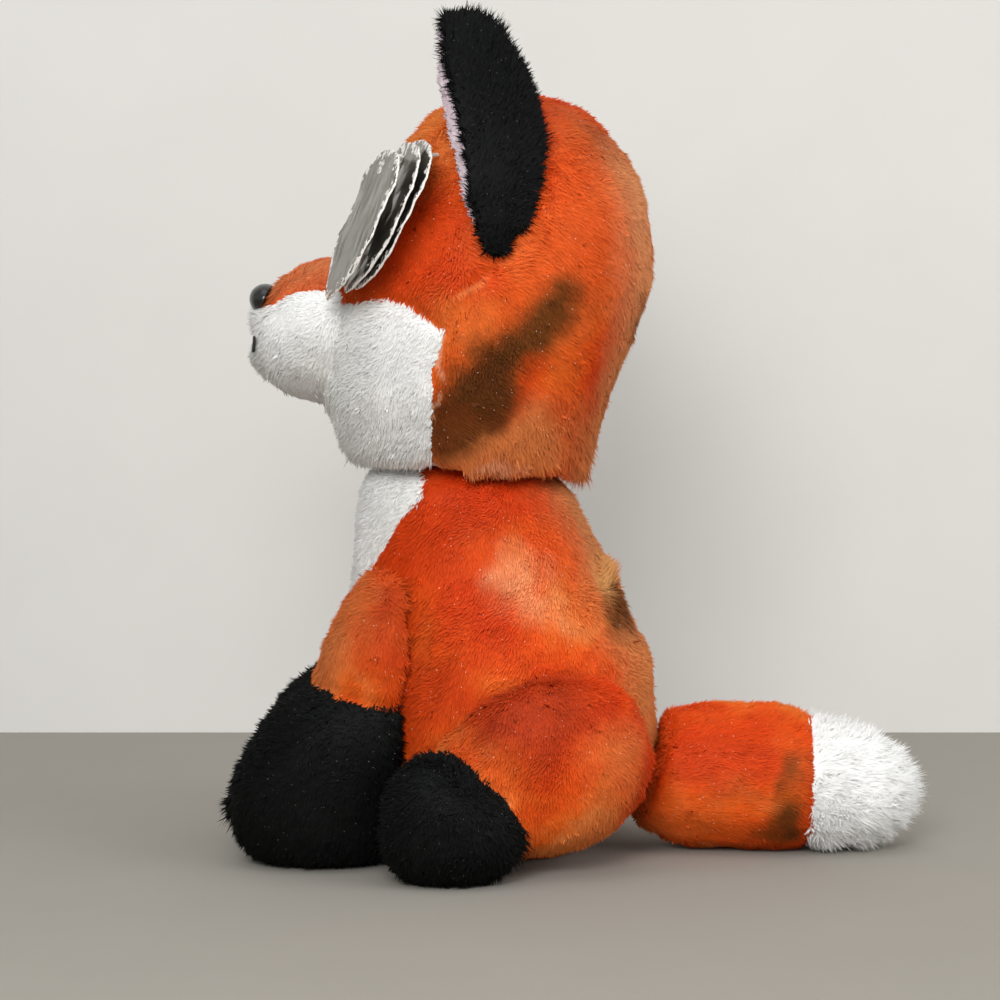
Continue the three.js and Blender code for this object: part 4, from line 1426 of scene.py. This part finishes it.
def plush_forms() -> list[PlushForm]:
    """The toy's stuffed forms, with the panels that they are sewn from."""
    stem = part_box("neck_stuffing")[1].z / MM - 22
    # A fringe hangs over the neck's crevice all round the head's lower rim
    fringe = hanging(((36, -29), (37, -20), (35, -10), (28, -2), (16, 3), (4, 5)), 94, 4.8, 0.0)
    beard = hanging(((34, -38), (29, -47), (20, -54), (7, -58)), 95, 3.6, -0.1)
    clipped = tuple(Tuft((x, -77.5, 123.5), 5, -1.3, (0.0, -0.2, -0.8)) for x in (-8.5, 0.0, 8.5))
    back_tufts = (Tuft((7, 9, 68), 6, 2.2, (0.3, 0.7, 0.8)), Tuft((8, 13, 60), 6.5, 2.4, (0.2, 0.9, -0.1)))
    shoulder = Tuft((33, -44, 70), 9, -0.7, (0.0, 0.3, -1.0))
    back_nodes = both("side_panel") + ("seat_panel",)
    crown_nodes = both("head_back", "face_panel") + ("bridge_panel",)
    cheek_pile = replace(WHITE_PILE, tufts=beard + clipped)
    return [
        PlushForm(
            "torso",
            "torso",
            (
                orange("torso_plush", back_nodes, ORANGE_TORSO, (0.0, -0.35, -1.0), *back_tufts),
                Panel("chest_plush", ("chest_panel",), WHITE, "white_plush", WHITE_PILE, overgrown=2.6),
            ),
            filling=("torso_stuffing", "pellet_bag"),
            plug=((0, -28, stem + 4), 10.0, 22.0),
        ),
        PlushForm(
            "head",
            "head",
            (
                orange("head_plush", crown_nodes, ORANGE_HEAD, ORANGE_PILE.lay, *fringe),
                Panel("cheek_plush", both("cheek") + ("muzzle_panel",), WHITE, "white_plush", cheek_pile),
            ),
            filling=("head_stuffing",),
            spare=("nose_washer",) + both("eye_washer"),
            voxel=2.85,
            rounds=10,
            seam_depth=0.9,
            seam_width=1.7,
            rim_rounds=2,
            reach=1.2,
            hem=2.5,
            lap=3.0,
        ),
        PlushForm(
            "foreleg",
            "foreleg_left",
            (
                orange(
                    "foreleg_sleeve_plush_left",
                    ("foreleg_sleeve_left",),
                    ORANGE_LIMB,
                    (0.0, -0.4, -1.0),
                    shoulder,
                ),
                Panel("boot_plush_left", ("boot_left",), BLACK, "black_plush", BOOT_PILE),
            ),
            filling=("foreleg_stuffing_left",),
            voxel=2.6,
            reach=0.8,
            hem=1.4,
            lap=1.8,
            mirror="foreleg_right",
        ),
        PlushForm(
            "hindleg",
            "hindleg_left",
            (
                orange("haunch_plush_left", ("haunch_left",), ORANGE_LIMB, (0.0, 0.1, -1.0)),
                Panel("foot_plush_left", ("foot_left",), BLACK, "black_plush", FOOT_PILE),
            ),
            filling=("hindleg_stuffing_left",),
            voxel=2.6,
            reach=0.6,
            hem=1.0,
            lap=1.5,
            mirror="hindleg_right",
        ),
        PlushForm(
            "tail",
            "tail",
            (
                orange("tail_sleeve_plush", ("tail_sleeve",), ORANGE_TAIL, (0.0, 1.0, -0.2)),
                Panel("tail_tip_plush", ("tail_tip",), WHITE_TAIL, "white_plush", TAIL_TIP_PILE),
            ),
            filling=("tail_stuffing",),
            voxel=2.4,
        ),
        PlushForm(
            "ear",
            "ear_left",
            (Panel("ear_plush_left", ("ear_back_left",), BLACK, "black_plush", EAR_PILE),),
            voxel=1.25,
            divisions=1,
            rounds=6,
            puff=0,
            mirror="ear_right",
        ),
        PlushForm(
            "ear_lining",
            "ear_left",
            (Panel("ear_lining_velour_left", ("ear_lining_left",), LINING, "ear_velour", LINING_PILE),),
            voxel=1.4,
            divisions=1,
            rounds=6,
            puff=0,
            mirror="ear_right",
        ),
    ]


@dataclass
class NeckWad:
    """The pad of fibre between head and body, without its stem, which the torso's fur stands for."""

    centre: Triple = (0.0, -28.0, 64.0625)
    low_radius: float = 37.6
    voxel: float = 1.4
    rounds: int = 6

    def build(self) -> bpy.types.Object:
        """Builds the pad and dresses it."""
        pad = joined_copy("neck_wad", ("neck_stuffing",))
        modify(pad, "REMESH", mode="VOXEL", voxel_size=self.voxel * MM)
        even_out(pad, self.rounds)
        middle = np.array(self.centre) * MM
        points = points_of(pad) - middle
        size = np.linalg.norm(points, axis=1, keepdims=True)
        points *= np.maximum(self.low_radius * MM / size, 1)
        put_points(pad, points + middle)
        with editing(pad, "SELECT"):
            bpy.ops.mesh.normals_make_consistent(inside=False)
        bpy.ops.object.shade_smooth()
        pad.data.materials.append(material_for(FIBRE))
        return dress(pad, "neck", ("neck_stuffing",))


# Hard features


@dataclass
class Button:
    """A domed plastic button with a rounded rim and a shank: an eye or the nose."""

    name: str
    node: str
    body: str
    slot: str
    finish: Any
    half_width: float
    half_height: float
    dome: float
    outward_degrees: float
    upward_degrees: float
    shank_radius: float = 1.5
    shank_length: float = 9.0

    def frame(self) -> Matrix:
        """Where the button sits: its Z points out of the fabric, from the middle of the rim."""
        aside, rise = math.radians(self.outward_degrees), math.radians(self.upward_degrees)
        out = Vector((math.sin(aside) * math.cos(rise), -math.cos(aside) * math.cos(rise), math.sin(rise)))
        across = Vector((0, 0, 1)).cross(out).normalized()
        upward = out.cross(across)
        source = frame["nodes"][self.node]
        pole = max((source.matrix_world @ v.co for v in source.data.vertices), key=lambda p: p.dot(out))
        origin = pole - out * self.dome * MM
        turn = Matrix((across, upward, out)).transposed().to_4x4()
        return Matrix.Translation(origin) @ turn

    def build(self) -> bpy.types.Object:
        """Builds the button and dresses it."""
        bpy.ops.object.select_all(action="DESELECT")
        bpy.ops.mesh.primitive_uv_sphere_add(segments=48, ring_count=24, radius=1)
        button = bpy.context.view_layer.objects.active
        button.name = self.name
        with editing(button, "SELECT"):
            bpy.ops.mesh.bisect(plane_co=(0, 0, 0), plane_no=(0, 0, 1), use_fill=True, clear_inner=True)
        scale = Matrix.Diagonal((self.half_width * MM, self.half_height * MM, self.dome * MM, 1))
        button.data.transform(scale)
        mesh = button.data
        mesh.polygons.foreach_set("select", [p.normal.z < -0.9 for p in mesh.polygons])
        with editing(button, ""):
            bpy.ops.mesh.inset(thickness=(self.half_height - self.shank_radius) * 0.9 * MM)
            bpy.ops.mesh.extrude_region_move(
                TRANSFORM_OT_translate={"value": (0, 0, -(self.shank_length - 0.4) * MM)}
            )
        points = points_of(button)
        reach = np.hypot(points[:, 0] / (self.half_width * MM), points[:, 1] / (self.half_height * MM))
        carry(button, "rim", reach)
        modify(button, "BEVEL", width=0.25 * MM, segments=2, limit_method="ANGLE")
        mesh.transform(self.frame())
        only(button)
        bpy.ops.object.shade_smooth_by_angle(angle=math.radians(40))
        button.data.materials.append(material_for(self.finish))
        return dress(button, self.body, (self.node,))


@dataclass
class Smile:
    """The stitched mouth: short satin stitches side by side along a curve on the muzzle, in mm."""

    half_width: float = 9.8
    sag: float = 5.0
    stitches: int = 54
    stitch_half_length: float = 0.8
    thread_radius: float = 0.28
    proud: float = 0.55
    thickness: float = 0.34
    tilt_degrees: float = 16.0

    def build(self) -> bpy.types.Object:
        """Builds the stitches on the muzzle, at the CAD thread's height, and dresses them."""
        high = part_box("mouth_stitch")[1]
        muzzle = tree_of(["muzzle_panel"])
        places = []
        for i in range(4 * self.stitches + 1):
            x = (2 * i / (4 * self.stitches) - 1) * self.half_width
            share = abs(x) / self.half_width
            z = (high.z / MM - self.thread_radius) + self.sag * (share**3 - 1)
            hit, facing = muzzle.ray_cast(Vector((x * MM, -0.2, z * MM)), Vector((0, 1, 0)))[:2]
            places.append(hit + facing * self.proud * MM)
        lengths = np.concatenate([[0], np.cumsum([(b - a).length for a, b in zip(places, places[1:])])])
        wanted = np.linspace(0, lengths[-1], self.stitches)
        table = np.array(places)
        line = np.stack([np.interp(wanted, lengths, table[:, k]) for k in range(3)], axis=1)
        bpy.ops.object.select_all(action="DESELECT")
        bpy.ops.mesh.primitive_uv_sphere_add(segments=8, ring_count=6, radius=1)
        stitch = bpy.context.view_layer.objects.active
        size = (self.thread_radius, self.stitch_half_length, self.thickness, 1)
        stitch.data.transform(Matrix.Diagonal(size))
        stitch.data.transform(Matrix.Diagonal((MM, MM, MM, 1)))
        pieces = []
        rng = np.random.default_rng(SEED)
        for i, place in enumerate(line):
            ahead = line[min(i + 1, len(line) - 1)] - line[max(i - 1, 0)]
            along = Vector(ahead).normalized()
            out = muzzle.find_nearest(Vector(place))[1]
            side = out.cross(along).normalized()
            turn = Matrix((along, side, along.cross(side))).transposed().to_4x4()
            tilt = Matrix.Rotation(math.radians(self.tilt_degrees) + rng.normal() * 0.05, 4, "Z")
            mesh = stitch.data.copy()
            mesh.transform(Matrix.Translation(Vector(place)) @ turn @ tilt)
            pieces.append(new_object("mouth_satin_stitch", mesh))
        bpy.data.objects.remove(stitch)
        mouth = join(pieces, "mouth_satin_stitch")
        bpy.ops.object.shade_smooth()
        mouth.data.materials.append(material_for(ThreadFinish()))
        return dress(mouth, "head", ("mouth_stitch",))


@dataclass
class TagLeaf:
    """One crumpled leaf of the swing tag: foil on its face, bare card on its back and edges."""

    node: str
    body: str
    slope_degrees: float
    turn_degrees: float
    crumple: float = 0.45
    seed: int = 1

    VOXEL = 0.28
    WIDE_WAVES = 16.0
    FOLD_WAVES = 7.0
    HALF_SPAN = 15.0
    RIM = 4.0
    MOST_LIFT = 0.5

    def axes(self) -> tuple[Vector, Vector, Vector]:
        """The directions across the leaf, up its length and out of its face."""
        lean, aside = math.radians(self.slope_degrees), math.radians(self.turn_degrees)
        upward = Vector((0, math.sin(lean), math.cos(lean)))
        turn = Matrix.Rotation(aside, 3, upward)
        return turn @ Vector((1, 0, 0)), upward, turn @ Vector((0, -math.cos(lean), math.sin(lean)))

    def build(self) -> bpy.types.Object:
        """Builds the leaf and dresses it."""
        leaf = joined_copy(self.node + "_foil", (self.node,))
        modify(leaf, "REMESH", mode="VOXEL", voxel_size=self.VOXEL * MM)
        even_out(leaf, 2)
        across, upward, out = (np.array(v) for v in self.axes())
        points = points_of(leaf)
        middle = points.mean(0)
        flat = points - np.outer((points - middle) @ out, out)
        wide = waves(flat, self.WIDE_WAVES * MM, self.seed)[:, 0]
        sharp = waves(flat, self.FOLD_WAVES * MM, self.seed + 5)
        folds = np.abs(sharp[:, 0]) + 0.5 * np.abs(sharp[:, 1])
        reach = np.abs((points - middle) @ across) / (self.HALF_SPAN * MM)
        lift = self.crumple * MM * (0.6 * wide * reach + 0.5 * (folds - 0.8) * reach)
        # How near the leaf's edge is: 1 at the edge, 0 as far in as the rim is wide
        sideways = np.abs(normals_of(leaf) @ out) < 0.5
        edge = KDTree(int(sideways.sum()))
        for i, point in enumerate(points[sideways].tolist()):
            edge.insert(point, i)
        edge.balance()
        reached = np.array([edge.find(point)[2] for point in points.tolist()])
        carry(leaf, "rim", np.clip(1 - reached / (self.RIM * MM), 0, 1))
        most = self.MOST_LIFT * MM
        put_points(leaf, points + np.outer(np.clip(lift, -most, most), out))
        with editing(leaf, "SELECT"):
            bpy.ops.mesh.normals_make_consistent(inside=False)
        paper = column(leaf.data.polygons, "normal") @ out < 0.5
        for finish in (FoilFinish(), CardFinish()):
            leaf.data.materials.append(material_for(finish))
        leaf.data.polygons.foreach_set("material_index", paper.astype(np.int32))
        only(leaf)
        bpy.ops.object.shade_smooth_by_angle(angle=math.radians(35))
        return dress(leaf, self.body, (self.node,))


# The studio


@dataclass
class Studio:
    """A pale floor and backdrop, soft lamps, and the camera of the photograph, in metres."""

    target: Triple = (0.0, -0.018, 0.086)
    distance: float = 0.68
    elevation_degrees: float = 4.0
    view_degrees: float = 20.42
    wall: float = -0.185
    floor_colour: str = "#98948c"
    wall_colour: str = "#dad9d5"

    def build(self) -> None:
        """Builds the stage, the lamps and the camera."""
        self._plane("floor", (0, 0, 0), (0, 0, 0), self.floor_colour)
        self._plane("backdrop", (self.wall, 0, 0), (0, math.radians(90), 0), self.wall_colour)
        self._lamp("key_lamp", (0.74, -0.13, 0.42), 0.3, 4.0)
        self._lamp("top_lamp", (0.25, -0.1, 1.1), 0.8, 1.8)
        self._lamp("fill_lamp", (0.45, 0.8, 0.4), 0.6, 3.0)
        world = bpy.data.worlds.new("studio")
        world.use_nodes = True
        back = world.node_tree.nodes["Background"]
        back.inputs["Color"].default_value = (1.0, 1.0, 1.0, 1.0)
        back.inputs["Strength"].default_value = 0.65
        bpy.context.scene.world = world
        self._camera()
        bpy.context.scene.view_settings.view_transform = "Standard"

    def _plane(self, name: str, place: Triple, turn: Triple, colour: str) -> None:
        """Adds a big plain surface of the stage."""
        bpy.ops.object.select_all(action="DESELECT")
        bpy.ops.mesh.primitive_plane_add(size=8, location=place, rotation=turn)
        plane = bpy.context.view_layer.objects.active
        plane.name = name
        material, tree = new_material(f"{name}_paper")
        place_out = add_node(tree, "TexCoord").outputs["Object"]
        grain = add_node(tree, "TexNoise", {"Vector": place_out, "Scale": 1 / (40 * MM)})
        tone = add_node(
            tree,
            "MapRange",
            {"Value": grain.outputs["Fac"], "To Min": 0.97, "To Max": 1.03},
        )
        tinted = add_node(
            tree,
            "VectorMath",
            {0: linear(colour)[:3], "Scale": tone.outputs[0]},
            operation="SCALE",
        )
        shader = add_node(
            tree,
            "BsdfPrincipled",
            {"Base Color": tinted.outputs[0], "Roughness": 0.9, "Specular IOR Level": 0.1},
        )
        # A stage sheet is open from its back, so that the toy can be seen from every side
        behind = add_node(tree, "NewGeometry").outputs["Backfacing"]
        clear = add_node(tree, "BsdfTransparent")
        sheet = add_node(tree, "MixShader", {0: behind, 1: shader.outputs[0], 2: clear.outputs[0]})
        close_material(tree, sheet.outputs[0])
        plane.data.materials.append(material)

    def _lamp(self, name: str, place: Triple, size: float, power: float) -> None:
        """Adds a soft square lamp that faces the toy."""
        data = bpy.data.lights.new(name, "AREA")
        data.shape = "SQUARE"
        data.size = size
        data.energy = power
        lamp = new_object(name, data)
        lamp.location = place
        lamp.rotation_euler = (Vector(self.target) - Vector(place)).to_track_quat("-Z", "Y").to_euler()

    def _camera(self) -> None:
        """Adds the camera at the photograph's place and angle."""
        data = bpy.data.cameras.new("camera")
        data.sensor_width = 36.0
        data.lens = data.sensor_width / 2 / math.tan(math.radians(self.view_degrees) / 2)
        data.clip_start = 0.01
        rise = math.radians(self.elevation_degrees)
        back = Vector((math.cos(rise), 0, math.sin(rise)))
        camera = new_object("camera", data)
        camera.location = Vector(self.target) + back * self.distance
        camera.rotation_euler = (-back).to_track_quat("-Z", "Y").to_euler()
        bpy.context.scene.camera = camera


def dress_plain_nodes() -> None:
    """Gives the hard CAD nodes that stay as they are their plastic."""
    for node in ("nose_washer",) + both("eye_washer") + ("tag_fastener",):
        finish = FASTENER_PLASTIC if node == "tag_fastener" else WASHER_PLASTIC
        obj = frame["nodes"][node]
        obj.data.materials.clear()
        obj.data.materials.append(material_for(finish))


def main() -> None:
    """Builds the studio and every piece in order, and reports each."""
    logging.basicConfig(level=logging.INFO, format="%(message)s", stream=sys.stdout)
    Studio().build()
    for form in plush_forms():
        for piece in form.build():
            log.info("%s: %d triangles", piece.name, len(piece.data.polygons))
    NeckWad().build()
    eye = Button("eye_dome_left", "eye_left", "head", "eye_plastic", EyeFinish(), 6.2, 6.2, 3.6, 24, 12)
    other = replace(eye, name="eye_dome_right", node="eye_right", outward_degrees=-24)
    nose = Button("nose_dome", "nose", "head", "nose_plastic", NOSE_PLASTIC, 5.8, 3.9, 4.2, 0, 24)
    for button in (eye, other, nose):
        log.info("%s built", button.build().name)
    log.info("%s built", Smile().build().name)
    for number, (node, body) in enumerate(
        [("tag_back_leaf", "tag"), ("tag_inner_leaf", "tag"), ("tag_cover", "tag_cover")]
    ):
        leaf = TagLeaf(node, body, 25 - 0.5 * number, 18 - 0.5 * number, seed=3 + number)
        log.info("%s built", leaf.build().name)
    dress_plain_nodes()


if __name__ == "__main__":
    main()
